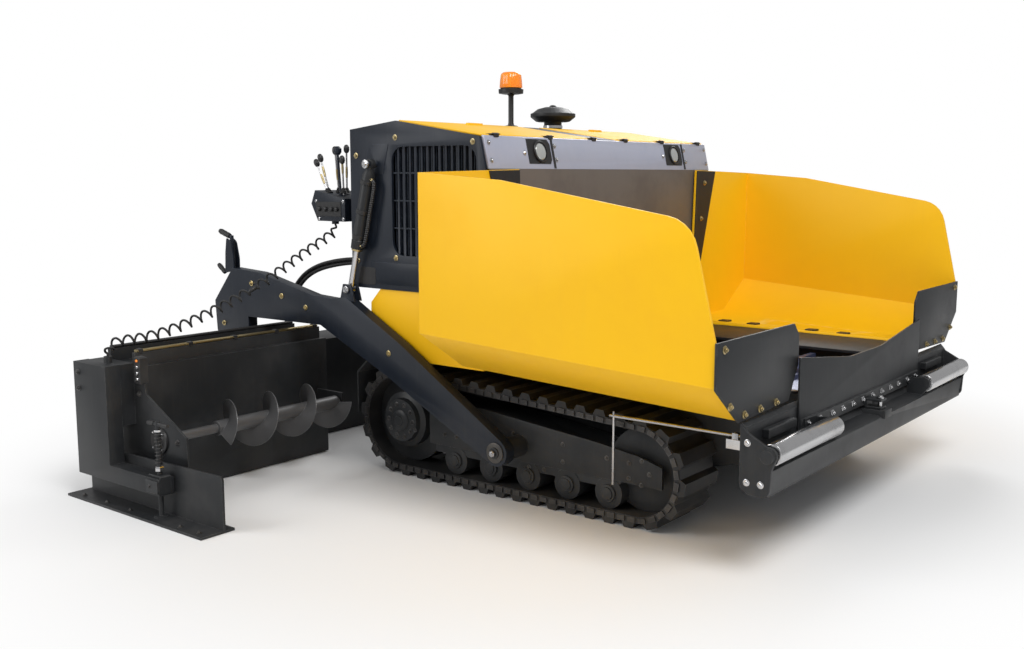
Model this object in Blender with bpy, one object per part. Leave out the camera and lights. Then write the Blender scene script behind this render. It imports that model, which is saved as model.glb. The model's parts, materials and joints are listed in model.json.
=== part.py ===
# Tracked asphalt paver: hopper and push rollers in front, engine over two conveyors,
# and a screed with two sliding extensions towed behind on two arms.
# Metres. +X is the paving direction, +Y the left side, +Z up, the floor is z = 0.
import math

import bmesh
import bpy
from mathutils import Vector

GAP = 0.0003            # between pieces that touch
RUNNING_GAP = 0.0006    # between a pin, tube or screw and its bore
CLEARANCE = 0.006       # between pieces that move past each other

# Undercarriage
FRAME_HALF_WIDTH = 0.690
FRAME_PLATE = 0.020
FRAME_REAR_X = -0.640
FRAME_TOP_Z = 0.620
TRACK_GAP = 0.021
TRACK_WIDTH = 0.305
BELT_THICKNESS = 0.032
LUG_HEIGHT = 0.028
LUG_COUNT = 40
SPROCKET_X = -0.352
SPROCKET_RADIUS = 0.297     # out to the tips of the lugs
IDLER_X = 1.120
IDLER_RADIUS = 0.260        # out to the tips of the lugs
ROLLER_RADIUS = 0.075
ROLLER_COUNT = 5
HUB_RADIUS = 0.120

# Push beam, rollers and apron
BEAM_REAR_X = 1.757
BEAM_BOTTOM_Z = 0.349
BEAM_HALF_WIDTH = 1.262
END_PLATE = 0.012
PUSH_ROLLER_X = 1.880
PUSH_ROLLER_Z = 0.520
PUSH_ROLLER_RADIUS = 0.045
PUSH_ROLLER_INNER_Y = 0.600
UPRIGHT_PLATE = 0.020
APRON_HALF_WIDTH = 0.780
APRON_PLATE = 0.010
APRON_END_Z = 0.832
APRON_MIDDLE_Z = 0.762
APRON_MIDDLE_HALF = 0.205

# Hopper
HOPPER_REAR_X = 0.335       # front face of the back wall
HOPPER_PLATE = 0.012
WING_HINGE_Y = 0.845
WING_HINGE_Z = 0.690
WING_BARREL = 0.014
WING_CORNER_Y = 1.310       # where the wing's floor turns up
WING_REAR_Y = 1.600         # the side wall, at its rear edge
WING_FRONT_Y = 1.500        # the side wall, at its front edge
WING_REAR_TOP_Z = 1.612
FLASHING_TOP_Z = 0.980
FLASHING_INNER_Y = 0.757
BACK_WALL_HALF = 1.085
BACK_WALL_TOP_Z = 1.630
TUNNEL_INNER_Y = 0.060
TUNNEL_OUTER_Y = 0.590
TUNNEL_BOTTOM_Z = 0.700
TUNNEL_TOP_Z = 0.980

# Conveyors and augers
CONVEYOR_TOP_Z = 0.600
CONVEYOR_BOTTOM_Z = 0.480
CONVEYOR_FRONT_X = 1.700
CONVEYOR_REAR_X = -0.620
SLAT_HEIGHT = 0.022
SLAT_COUNT = 11
AUGER_Z = 0.330
MAIN_AUGER_X = -0.500
MAIN_AUGER_RADIUS = 0.120
SCREED_AUGER_X = -0.860
SCREED_AUGER_RADIUS = 0.135
AUGER_TUBE = 0.038
AUGER_SHAFT = 0.022
FLIGHT_PITCH = 0.260
FLIGHT_THICKNESS = 0.012

# Engine housing
DECK_TOP_Z = 1.040
DECK_PLATE = 0.015
COWL_REAR_X = -0.600
COWL_HALF_WIDTH = 1.090
PANEL_PLATE = 0.016
SKIRT_Z = 1.010              # lower edge of the housing's plates
RIDGE_X = -0.270
RIDGE_Z = 1.872
COWL_FRONT_TOP_Z = 1.783
COWL_REAR_TOP_Z = 1.835
COWL_PLATE = 0.012
GRILLE_REAR_X = -0.300
GRILLE_FRONT_X = 0.265
GRILLE_BOTTOM_Z = 1.190
GRILLE_TOP_Z = 1.742
GRILLE_CORNER = 0.075
GRILLE_BARS = 13
BEACON_X = -0.397
BEACON_TOP_Z = 2.198
PRE_CLEANER_Y = 0.420
PRE_CLEANER_RADIUS = 0.140
TANK_REAR_X = -0.475
TANK_FRONT_X = 0.300
TANK_BOTTOM_Z = 0.650
TANK_STAND_OUT = 0.010         # the side tank's outer face, from the housing's side

# Tow arms, lift cylinders
TOW_PIN_X = 0.436
TOW_PIN_Z = 0.280
TOW_PIN_RADIUS = 0.028
ARM_WIDTH = 0.064
ARM_END_RADIUS = 0.068
CYLINDER_TOP_X = -0.410
CYLINDER_TOP_Z = 1.655
CYLINDER_EYE_X = -0.575
CYLINDER_EYE_Z = 1.000
BARREL_RADIUS = 0.032
BARREL_LENGTH = 0.450
ROD_RADIUS = 0.016
ROD_ENGAGED = 0.150
EYE_RADIUS = 0.026
CYLINDER_PIN = 0.0135

# Screed
SCREED_HALF_WIDTH = 1.219
EXTENSION_TRAVEL = 0.914
EXTENSION_LENGTH = 1.213
AUGER_BRACKET_INSET = 0.065    # the extension auger's inner bearing, from the extension's inner end
SCREED_FRONT_X = -1.345
SCREED_REAR_X = -1.640
SCREED_TOP_Z = 0.600
SCREED_PLATE = 0.012
SOLE_Z = 0.006              # underside of the screed's sole plates
SOLE_PLATE = 0.022
WALL_FRONT_X = -1.030
WALL_TOP_Z = 0.670
GUIDE_TUBE_X = -1.500
GUIDE_TUBE_Z = 0.400
GUIDE_TUBE_RADIUS = 0.045
GUIDE_TUBE_ENGAGED = 0.270
WALKWAY_REAR_X = -1.925
WALKWAY_Z = 0.225
WALKWAY_PLATE = 0.025
GATE_FRONT_X = -0.300
GATE_REAR_X = -1.380
SKI_FRONT_X = -0.300
SKI_REAR_X = -1.400
SKI_WIDTH = 0.184
SKI_PLATE = 0.012
GATE_PLATE = 0.012
GATE_TOP_Z = 0.262
JACK_X = -0.700
JACK_RADIUS = 0.012

# Cords
CURLY_RADIUS = 0.030
GLAND_RADIUS = 0.020
GLAND_INSET = 0.020            # from the end gate's face to the curly cord's gland
HOSE_RADIUS = 0.026
HOSE_Y = 0.860

# Places worked out from the sizes above
TRACK_INNER_Y = FRAME_HALF_WIDTH + TRACK_GAP
TRACK_OUTER_Y = TRACK_INNER_Y + TRACK_WIDTH
PANEL_OUTER_Y = COWL_HALF_WIDTH + PANEL_PLATE
TANK_HALF_WIDTH = COWL_HALF_WIDTH + TANK_STAND_OUT
ARM_INNER_Y = max(PANEL_OUTER_Y, TRACK_OUTER_Y) + 0.008
ARM_OUTER_Y = ARM_INNER_Y + ARM_WIDTH
ARM_Y = 0.5 * (ARM_INNER_Y + ARM_OUTER_Y)
BELT_TOTAL = BELT_THICKNESS + LUG_HEIGHT
END_PLATE_Y = SCREED_HALF_WIDTH + EXTENSION_TRAVEL
EXTENSION_INNER_Y = END_PLATE_Y - EXTENSION_LENGTH
AUGER_BRACKET_Y = EXTENSION_INNER_Y + AUGER_BRACKET_INSET
SKI_Y = END_PLATE_Y + SCREED_PLATE + 0.005
GATE_Y = SKI_Y + 0.050
JACK_Y = GATE_Y + 0.062
CORD_START = (-0.950, -0.900, 1.325)
CORD_END = (-1.160, -2.220, 0.722)
AXIS_Y = Vector((0, 1, 0))
AXIS_Z = Vector((0, 0, 1))
SIDES = (("l", 1), ("r", -1))


def clear_scene():
    for item in list(bpy.data.objects):
        bpy.data.objects.remove(item, do_unlink=True)


def paint(name, colour, roughness, metallic=0.0):
    found = bpy.data.materials.get(name)
    if found:
        return found
    made = bpy.data.materials.new(name)
    made.use_nodes = True
    shader = made.node_tree.nodes["Principled BSDF"]
    shader.inputs["Base Color"].default_value = (*colour, 1.0)
    shader.inputs["Roughness"].default_value = roughness
    shader.inputs["Metallic"].default_value = metallic
    return made


def yellow():
    return paint("yellow paint", (0.99, 0.55, 0.01), 0.35)


def graphite():
    return paint("graphite paint", (0.028, 0.033, 0.042), 0.45)


def navy():
    return paint("blue-grey paint", (0.030, 0.045, 0.070), 0.45)


def bare_steel():
    return paint("bright steel", (0.62, 0.63, 0.65), 0.25, 1.0)


def worn_steel():
    return paint("worn steel", (0.20, 0.17, 0.15), 0.5, 0.8)


def rubber():
    return paint("black rubber", (0.02, 0.02, 0.02), 0.8)


def silver():
    return paint("silver paint", (0.45, 0.48, 0.55), 0.35, 0.5)


def amber():
    return paint("amber lens", (1.0, 0.35, 0.02), 0.25)


def solid(name, mesh_data, material):
    bmesh.ops.remove_doubles(mesh_data, verts=mesh_data.verts, dist=1e-7)
    bmesh.ops.recalc_face_normals(mesh_data, faces=mesh_data.faces)
    mesh = bpy.data.meshes.new(name)
    mesh_data.to_mesh(mesh)
    mesh_data.free()
    mesh.materials.append(material)
    made = bpy.data.objects.new(name, mesh)
    bpy.context.collection.objects.link(made)
    return made


def prism(name, outline, axis, low, high, material):
    # outline is in the two other axes, in the order x, y, z
    low, high = min(low, high), max(low, high)
    bm = bmesh.new()

    def point(pair, level):
        spot = list(pair)
        spot.insert("xyz".index(axis), level)
        return bm.verts.new(spot)

    bottom = [point(pair, low) for pair in outline]
    face = bm.faces.new(bottom)
    grown = bmesh.ops.extrude_face_region(bm, geom=[face])
    step = [0, 0, 0]
    step["xyz".index(axis)] = high - low
    moved = [item for item in grown["geom"] if isinstance(item, bmesh.types.BMVert)]
    bmesh.ops.translate(bm, verts=moved, vec=step)
    return solid(name, bm, material)


def box(name, x, y, z, material):
    outline = [(x[0], y[0]), (x[1], y[0]), (x[1], y[1]), (x[0], y[1])]
    return prism(name, outline, "z", z[0], z[1], material)


def turned(name, profile, origin, axis, material, segments=24):
    # profile lists (distance along the axis, radius); both ends are closed
    bm = bmesh.new()
    side = axis.orthogonal().normalized()
    other = axis.cross(side)
    rings = []
    for along, radius in profile:
        ring = []
        for index in range(segments):
            angle = 2 * math.pi * index / segments
            arm = side * math.cos(angle) + other * math.sin(angle)
            ring.append(bm.verts.new(origin + axis * along + arm * radius))
        rings.append(ring)
    for ring, following in zip(rings, rings[1:]):
        for index in range(segments):
            after = (index + 1) % segments
            bm.faces.new((ring[index], ring[after], following[after], following[index]))
    bm.faces.new(rings[0])
    bm.faces.new(rings[-1])
    return solid(name, bm, material)


def rod(name, start, end, radius, material, segments=24):
    start, end = Vector(start), Vector(end)
    axis = (end - start).normalized()
    return turned(name, [(0, radius), ((end - start).length, radius)], start, axis, material, segments)


def boolean(base, others, operation):
    for other in others:
        change = base.modifiers.new(operation.lower() + " " + other.name, "BOOLEAN")
        change.operation = operation
        change.solver = "EXACT"
        change.object = other
        other.hide_render = True
        other.display_type = "WIRE"
    return base


def fuse(base, *others):
    return boolean(base, others, "UNION")


def cut(base, *others):
    return boolean(base, others, "DIFFERENCE")


def arc(centre, radius, start_deg, end_deg, steps):
    points = []
    for index in range(steps + 1):
        angle = math.radians(start_deg + (end_deg - start_deg) * index / steps)
        points.append((centre[0] + radius * math.cos(angle), centre[1] + radius * math.sin(angle)))
    return points


def pivot(name, place):
    made = bpy.data.objects.new(name, None)
    made.location = place
    bpy.context.collection.objects.link(made)
    bpy.context.view_layer.update()
    return made


def hang(child, parent):
    child.parent = parent
    child.matrix_parent_inverse = parent.matrix_world.inverted()
    return child


# ---------------------------------------------------------------- undercarriage

def belt_path():
    # The belt's inner line: round the sprocket and the idler, straight between them.
    # Returns a function of arc length that gives a point and the outward direction.
    rear = Vector((SPROCKET_X, SPROCKET_RADIUS))
    front = Vector((IDLER_X, IDLER_RADIUS))
    rear_r = SPROCKET_RADIUS - BELT_TOTAL
    front_r = IDLER_RADIUS - BELT_TOTAL
    span = front - rear
    lean = math.atan2(span.y, span.x) + math.acos((rear_r - front_r) / span.length)
    top = Vector((math.cos(lean), math.sin(lean)))
    bottom_length = IDLER_X - SPROCKET_X
    rear_turn = 1.5 * math.pi - lean
    top_length = ((front + top * front_r) - (rear + top * rear_r)).length
    front_turn = lean + 0.5 * math.pi
    pieces = (bottom_length, rear_turn * rear_r, top_length, front_turn * front_r)

    def place(length):
        length %= sum(pieces)
        if length < pieces[0]:
            return Vector((IDLER_X - length, BELT_TOTAL)), Vector((0, -1))
        length -= pieces[0]
        if length < pieces[1]:
            angle = 1.5 * math.pi - length / rear_r
            out = Vector((math.cos(angle), math.sin(angle)))
            return rear + out * rear_r, out
        length -= pieces[1]
        if length < pieces[2]:
            share = length / top_length
            return rear + top * rear_r + (front - rear + top * (front_r - rear_r)) * share, top
        length -= pieces[2]
        angle = lean - length / front_r
        out = Vector((math.cos(angle), math.sin(angle)))
        return front + out * front_r, out

    return place, sum(pieces)


def track(side_name, side):
    place, total = belt_path()
    pitch = total / LUG_COUNT
    rings = []
    for index in range(LUG_COUNT):
        for share, height in ((0.0, 0.0), (0.12, 1.0), (0.52, 1.0), (0.64, 0.0)):
            spot, out = place((index + share) * pitch)
            outer = spot + out * (BELT_THICKNESS + LUG_HEIGHT * height)
            rings.append((spot, outer))
    bm = bmesh.new()
    rows = []
    for spot, outer in rings:
        row = []
        for y in (side * TRACK_INNER_Y, side * TRACK_OUTER_Y):
            row.append(bm.verts.new((spot.x, y, spot.y)))
            row.append(bm.verts.new((outer.x, y, outer.y)))
        rows.append(row)
    for row, following in zip(rows, rows[1:] + rows[:1]):
        for first, second in ((0, 1), (1, 3), (3, 2), (2, 0)):
            bm.faces.new((row[first], row[second], following[second], following[first]))
    return solid("track_" + side_name, bm, rubber())


def track_frame(side_name, side):
    name = "track_frame_" + side_name
    low_z = BELT_TOTAL + GAP + 2 * ROLLER_RADIUS - 0.05
    beam_outline = [(-0.12, low_z), (1.00, low_z), (1.06, 0.24), (0.96, 0.33), (0.20, 0.42), (-0.12, 0.42)]
    beam_in = TRACK_INNER_Y + 0.031
    beam_out = TRACK_OUTER_Y - 0.031
    frame = prism(name, beam_outline, "y", side * beam_in, side * beam_out, navy())
    guard_outline = [
        (-0.16, 0.20), (1.245, 0.20), (1.245, 0.30), (1.12, 0.335), (0.90, 0.365), (0.20, 0.43),
        (-0.16, 0.43)]
    parts = [prism(
        name + "_guard", guard_outline, "y", side * (beam_out - 0.012), side * (beam_out + 0.006),
        navy())]
    for index in range(ROLLER_COUNT):
        x = 0.02 + index * 0.235
        z = BELT_TOTAL + GAP + ROLLER_RADIUS
        parts.append(rod(
            name + "_roller%d" % index, (x, side * (beam_in - 0.006), z),
            (x, side * (beam_out + 0.004), z), ROLLER_RADIUS, graphite(), 16))
    wheel_in = TRACK_INNER_Y + 0.5 * TRACK_WIDTH - 0.06
    wheel_out = wheel_in + 0.12
    rim = BELT_TOTAL + 0.0022
    parts.append(rod(
        name + "_idler", (IDLER_X, side * wheel_in, IDLER_RADIUS),
        (IDLER_X, side * wheel_out, IDLER_RADIUS), IDLER_RADIUS - rim, graphite()))
    parts.append(rod(
        name + "_sprocket", (SPROCKET_X, side * wheel_in, SPROCKET_RADIUS),
        (SPROCKET_X, side * wheel_out, SPROCKET_RADIUS), SPROCKET_RADIUS - rim, graphite()))
    hub = [
        (0, 0.06), (0.10, 0.06), (0.10, 0.15), (TRACK_WIDTH - 0.05, 0.15),
        (TRACK_WIDTH - 0.04, HUB_RADIUS), (TRACK_WIDTH - 0.012, HUB_RADIUS - 0.006)]
    hub_base = Vector((SPROCKET_X, side * (TRACK_INNER_Y + 0.01), SPROCKET_RADIUS))
    parts.append(turned(name + "_hub", hub, hub_base, AXIS_Y * side, graphite()))
    parts.append(box(
        name + "_drive_arm", (SPROCKET_X, -0.05),
        sorted((side * (beam_in + 0.01), side * (beam_in + 0.06))), (0.25, 0.35), navy()))
    for spot, low, high in (
        ("rear", SPROCKET_X - 0.07, SPROCKET_X + 0.07), ("middle", 0.38, 0.60), ("front", 0.85, 0.95)):
        y = sorted((side * (FRAME_HALF_WIDTH + GAP), side * (beam_in + 0.03)))
        parts.append(box(name + "_mount_" + spot, (low, high), y, (0.262, 0.345), navy()))
    boss = [(0, 0.055), (ARM_INNER_Y - GAP - beam_out, 0.055)]
    boss_base = Vector((TOW_PIN_X, side * beam_out, TOW_PIN_Z))
    parts.append(turned(name + "_tow_boss", [(-0.02, 0.055)] + boss[1:], boss_base, AXIS_Y * side, navy()))
    pin_end = ARM_OUTER_Y + 0.016
    parts.append(rod(
        name + "_tow_pin", (TOW_PIN_X, side * (beam_out + 0.02), TOW_PIN_Z),
        (TOW_PIN_X, side * pin_end, TOW_PIN_Z), TOW_PIN_RADIUS, bare_steel()))
    return fuse(frame, *parts)


def main_frame():
    plate_outline = [(FRAME_REAR_X, 0.300), (1.300, 0.250), (BEAM_REAR_X - GAP, 0.370),
                     (BEAM_REAR_X - GAP, FRAME_TOP_Z), (FRAME_REAR_X, FRAME_TOP_Z)]
    inner = FRAME_HALF_WIDTH - FRAME_PLATE
    frame = prism("main_frame", plate_outline, "y", inner, FRAME_HALF_WIDTH, graphite())
    parts = [prism("main_frame_right_plate", plate_outline, "y", -inner, -FRAME_HALF_WIDTH, graphite())]
    wide = (-inner - 0.005, inner + 0.005)
    parts.append(box("main_frame_pan", (-0.300, 1.300), wide, (0.262, 0.274), graphite()))
    parts.append(box(
        "main_frame_front_member", (1.600, BEAM_REAR_X - GAP), wide, (0.340, 0.460), graphite()))
    parts.append(box("main_frame_rear_member", (-0.360, -0.300), wide, (0.262, 0.440), graphite()))
    parts.append(box(
        "main_frame_auger_case", (MAIN_AUGER_X - 0.06, -0.32), (-0.050, 0.050), (0.270, 0.440),
        graphite()))
    for side_name, side in SIDES:
        upright_y = sorted((side * (TUNNEL_OUTER_Y + 0.012), side * FRAME_HALF_WIDTH))
        front_x = HOPPER_REAR_X - HOPPER_PLATE - GAP
        rear_x = COWL_REAR_X + COWL_PLATE + GAP
        parts.append(box(
            "main_frame_tunnel_" + side_name, (rear_x, front_x), upright_y, (0.600, DECK_TOP_Z - 0.005),
            graphite()))
        hinge_edge = WING_HINGE_Y - WING_BARREL - GAP
        slope = [
            (side * 0.600, 0.640), (side * hinge_edge, WING_HINGE_Z - 0.010),
            (side * hinge_edge, WING_HINGE_Z + 0.002), (side * 0.600, 0.654)]
        parts.append(prism(
            "main_frame_floor_" + side_name, slope, "x", HOPPER_REAR_X + GAP, BEAM_REAR_X - 0.012,
            worn_steel()))
        parts.append(box(
            "main_frame_rail_" + side_name, (HOPPER_REAR_X, BEAM_REAR_X - 0.014),
            sorted((side * inner, side * FRAME_HALF_WIDTH)), (0.600, 0.655), graphite()))
        guard = [
            (-0.672, 0.300), (-0.672, 0.530), (-0.560, 0.632), (-0.560, 0.620), (-0.664, 0.524),
            (-0.664, 0.300)]
        parts.append(prism(
            "main_frame_guard_" + side_name, guard, "y", side * (inner + 0.004),
            side * (TRACK_OUTER_Y + 0.004), graphite()))
        parts.append(box(
            "main_frame_guard_foot_" + side_name, (-0.672, FRAME_REAR_X + 0.01),
            sorted((side * (inner + 0.004), side * (FRAME_HALF_WIDTH))), (0.320, 0.520), graphite()))
    deck_y = COWL_HALF_WIDTH - GAP
    parts.append(box(
        "main_frame_deck", (COWL_REAR_X + COWL_PLATE + GAP, HOPPER_REAR_X - HOPPER_PLATE - GAP),
        (-deck_y, deck_y), (DECK_TOP_Z - DECK_PLATE, DECK_TOP_Z), graphite()))
    return fuse(frame, *parts)


def conveyor():
    radius = 0.5 * (CONVEYOR_TOP_Z - CONVEYOR_BOTTOM_Z)
    middle_z = CONVEYOR_BOTTOM_Z + radius
    front = (CONVEYOR_FRONT_X - radius, middle_z)
    rear = (CONVEYOR_REAR_X + radius, middle_z)
    outline = arc(front, radius, -90, 90, 8)
    pitch = (front[0] - rear[0]) / (SLAT_COUNT + 1)
    for index in range(SLAT_COUNT):
        x = front[0] - (index + 1) * pitch
        outline += [(x + 0.02, CONVEYOR_TOP_Z), (x + 0.015, CONVEYOR_TOP_Z + SLAT_HEIGHT),
                    (x - 0.015, CONVEYOR_TOP_Z + SLAT_HEIGHT), (x - 0.02, CONVEYOR_TOP_Z)]
    outline += arc(rear, radius, 90, 270, 8)
    half = TUNNEL_OUTER_Y
    belt = prism("conveyor", outline, "y", -half, half, worn_steel())
    reach = FRAME_HALF_WIDTH - FRAME_PLATE - GAP
    front_shaft = rod(
        "conveyor_front_shaft", (front[0], -reach, middle_z), (front[0], reach, middle_z), 0.03,
        graphite(), 12)
    rear_shaft = rod(
        "conveyor_rear_shaft", (rear[0], -reach, middle_z), (rear[0], reach, middle_z), 0.03,
        graphite(), 12)
    ridge = [
        (-0.045, CONVEYOR_TOP_Z - 0.02), (0.045, CONVEYOR_TOP_Z - 0.02),
        (0.045, CONVEYOR_TOP_Z + 0.045), (0.0, CONVEYOR_TOP_Z + 0.085),
        (-0.045, CONVEYOR_TOP_Z + 0.045)]
    divider = prism("conveyor_divider", ridge, "x", rear[0], front[0], worn_steel())
    return fuse(belt, front_shaft, rear_shaft, divider)


# ---------------------------------------------------------------- front end

def push_beam():
    upright = BEAM_REAR_X + UPRIGHT_PLATE
    front = PUSH_ROLLER_X + 0.008
    tray_z = PUSH_ROLLER_Z - PUSH_ROLLER_RADIUS - 0.013
    outline = [
        (BEAM_REAR_X, BEAM_BOTTOM_Z + 0.02), (BEAM_REAR_X + 0.04, BEAM_BOTTOM_Z),
        (front - 0.012, BEAM_BOTTOM_Z), (front, tray_z - 0.006), (front - 0.012, tray_z),
        (upright + 0.02, tray_z + 0.004), (upright, tray_z + 0.03), (upright, 0.620),
        (BEAM_REAR_X, 0.636)]
    beam = prism("push_beam", outline, "y", -BEAM_HALF_WIDTH, BEAM_HALF_WIDTH, navy())
    parts = []
    end_outline = [(BEAM_REAR_X, 0.400)] + arc(
        (BEAM_REAR_X + 0.055, BEAM_BOTTOM_Z + 0.055), 0.055, 190, 270, 4)
    end_outline += arc((front - 0.035, BEAM_BOTTOM_Z + 0.035), 0.035, 270, 350, 4)
    end_outline += [(front + 0.004, tray_z)] + arc((PUSH_ROLLER_X, PUSH_ROLLER_Z), 0.034, -10, 100, 5)
    end_outline += [(upright + 0.01, 0.600), (BEAM_REAR_X, 0.636)]
    for side_name, side in SIDES:
        outer = side * (BEAM_HALF_WIDTH + END_PLATE)
        parts.append(prism(
            "push_beam_end_" + side_name, end_outline, "y", side * (BEAM_HALF_WIDTH - 0.002), outer,
            navy()))
        cap = (PUSH_ROLLER_X, outer - side * 0.004, PUSH_ROLLER_Z)
        parts.append(rod(
            "push_beam_cap_" + side_name, cap, (PUSH_ROLLER_X, outer + side * 0.022, PUSH_ROLLER_Z),
            0.027, bare_steel(), 20))
        before = upright + APRON_PLATE + 0.012
        inner_plate = [(before, tray_z - 0.01), (front - 0.02, tray_z - 0.01)]
        inner_plate += arc((PUSH_ROLLER_X, PUSH_ROLLER_Z), 0.034, -40, 110, 5) + [(before, 0.545)]
        low = PUSH_ROLLER_INNER_Y - 0.014
        parts.append(prism(
            "push_beam_bearing_" + side_name, inner_plate, "y", side * low, side * (low + 0.012),
            navy()))
    hook = box("push_beam_hook", (upright - 0.004, 1.905), (-0.045, 0.045), (0.450, 0.488), navy())
    return fuse(beam, *parts, hook)


def push_roller(side_name, side):
    start = PUSH_ROLLER_INNER_Y - 0.002 + GAP
    end = BEAM_HALF_WIDTH - 0.002 - GAP
    core = 0.022
    profile = [(0, core), (0.012, core), (0.012, PUSH_ROLLER_RADIUS - 0.003), (0.015, PUSH_ROLLER_RADIUS),
               (end - start - 0.015, PUSH_ROLLER_RADIUS), (end - start - 0.012, PUSH_ROLLER_RADIUS - 0.003),
               (end - start - 0.012, core), (end - start, core)]
    axle = pivot("push_roller_axis_" + side_name, (PUSH_ROLLER_X, side * start, PUSH_ROLLER_Z))
    roller = turned(
        "push_roller_" + side_name, profile, Vector((PUSH_ROLLER_X, side * start, PUSH_ROLLER_Z)),
        AXIS_Y * side, bare_steel(), 28)
    return hang(roller, axle)


def front_apron():
    low = BEAM_REAR_X + UPRIGHT_PLATE + GAP
    half = APRON_HALF_WIDTH
    outline = [(-half, 0.500), (half, 0.500), (half, APRON_END_Z), (APRON_MIDDLE_HALF, APRON_MIDDLE_Z),
               (-APRON_MIDDLE_HALF, APRON_MIDDLE_Z), (-half, APRON_END_Z)]
    apron = prism("front_apron", outline, "x", low, low + APRON_PLATE, graphite())
    strip = box(
        "front_apron_strip", (low + 0.5 * APRON_PLATE, low + APRON_PLATE + 0.006),
        (-half + 0.02, half - 0.02), (0.506, 0.560), graphite())
    return fuse(apron, strip)


def steering_guide():
    y = -(TRACK_OUTER_Y + 0.045)
    bracket = box(
        "steering_guide", (1.600, BEAM_REAR_X - GAP), (y - 0.02, y + 0.02), (0.470, 0.510), graphite())
    rail = rod("steering_guide_rail", (1.010, y, 0.524), (1.700, y, 0.524), 0.007, bare_steel(), 10)
    collar = box(
        "steering_guide_collar", (1.622, 1.650), (y - 0.012, y + 0.012), (0.505, 0.536), bare_steel())
    drop = rod("steering_guide_drop", (1.030, y, 0.205), (1.030, y, 0.545), 0.006, bare_steel(), 10)
    return fuse(bracket, collar, rail, drop)


# ---------------------------------------------------------------- hopper

def wing_front_x():
    # the flared wall's inner skin stands a little further forward than its outer one
    return BEAM_REAR_X - GAP - 0.001


def wing_side_profile():
    # (x, z) along the side wall's top, from the rear corner round to the flashing's top
    front = wing_front_x()
    rear = HOPPER_REAR_X + 0.010
    corner = arc((1.525, 1.300), 0.150, 80, 12, 5)
    return [
        (rear, WING_REAR_TOP_Z),
        (rear + 0.435, WING_REAR_TOP_Z - 0.032)] + corner + [(front, FLASHING_TOP_Z)]


def hopper_wing(side_name, side):
    rear = HOPPER_REAR_X + 0.010
    front = wing_front_x()

    def wall_y(x):
        share = (x - rear) / (front - rear)
        return side * (WING_REAR_Y + (WING_FRONT_Y - WING_REAR_Y) * share)

    bm = bmesh.new()
    top = [bm.verts.new((x, wall_y(x), z)) for x, z in wing_side_profile()]
    bend = [bm.verts.new((rear, wall_y(rear), 0.900)), bm.verts.new((front, wall_y(front), 0.805))]
    corner = [
        bm.verts.new((rear, side * WING_CORNER_Y, 0.712)),
        bm.verts.new((front, side * WING_CORNER_Y, 0.650))]
    edge = [
        bm.verts.new((rear, side * WING_HINGE_Y, 0.700)),
        bm.verts.new((front, side * WING_HINGE_Y, 0.680))]
    inner_top = bm.verts.new((rear, side * 0.890, WING_REAR_TOP_Z + 0.016))
    bm.faces.new(top + [bend[1], bend[0]])
    bm.faces.new((bend[0], bend[1], corner[1], corner[0]))
    bm.faces.new((corner[0], corner[1], edge[1], edge[0]))
    bm.faces.new((top[0], bend[0], corner[0], edge[0], inner_top))
    wing = solid("hopper_wing_" + side_name, bm, yellow())
    wall = wing.data.polygons[0]
    thickness = wing.modifiers.new("sheet", "SOLIDIFY")
    thickness.thickness = HOPPER_PLATE
    thickness.use_even_offset = True
    thickness.offset = -1.0 if wall.normal.y * side > 0 else 1.0
    start = (rear, side * WING_HINGE_Y, WING_HINGE_Z)
    barrel = rod(
        "hopper_wing_barrel_" + side_name, start, (front, side * WING_HINGE_Y, WING_HINGE_Z),
        WING_BARREL, graphite(), 12)
    fuse(wing, barrel)
    return hang(wing, pivot("wing_axis_" + side_name, start))


def wing_flashing(side_name, side, wing):
    low = BEAM_REAR_X
    outline = [
        (side * WING_HINGE_Y, 0.655), (side * WING_CORNER_Y, 0.642),
        (side * (WING_FRONT_Y + 0.006), 0.800), (side * (WING_FRONT_Y + 0.006), FLASHING_TOP_Z),
        (side * (FLASHING_INNER_Y + 0.05), FLASHING_TOP_Z),
        (side * FLASHING_INNER_Y, FLASHING_TOP_Z - 0.055), (side * FLASHING_INNER_Y, 0.800)]
    plate = prism("wing_flashing_" + side_name, outline, "x", low, low + 0.010, graphite())
    return hang(plate, wing.parent)


def back_wall():
    low = HOPPER_REAR_X - HOPPER_PLATE
    half = BACK_WALL_HALF
    low_y = TUNNEL_OUTER_Y + 0.012
    outline = [
        (-half, 0.735), (-low_y, 0.660), (-low_y, TUNNEL_BOTTOM_Z), (low_y, TUNNEL_BOTTOM_Z),
        (low_y, 0.660), (half, 0.735), (half, BACK_WALL_TOP_Z), (-half, BACK_WALL_TOP_Z)]
    wall = prism("hopper_back_wall", outline, "x", low, HOPPER_REAR_X, worn_steel())
    cutters = []
    for side_name, side in SIDES:
        y = sorted((side * TUNNEL_INNER_Y, side * (TUNNEL_OUTER_Y - 0.02)))
        z = (TUNNEL_BOTTOM_Z - 0.05, TUNNEL_TOP_Z)
        cutters.append(box(
            "tunnel_mouth_" + side_name, (low - 0.05, HOPPER_REAR_X + 0.05), y, z, worn_steel()))
    return cut(wall, *cutters)


# ---------------------------------------------------------------- engine housing

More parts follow.
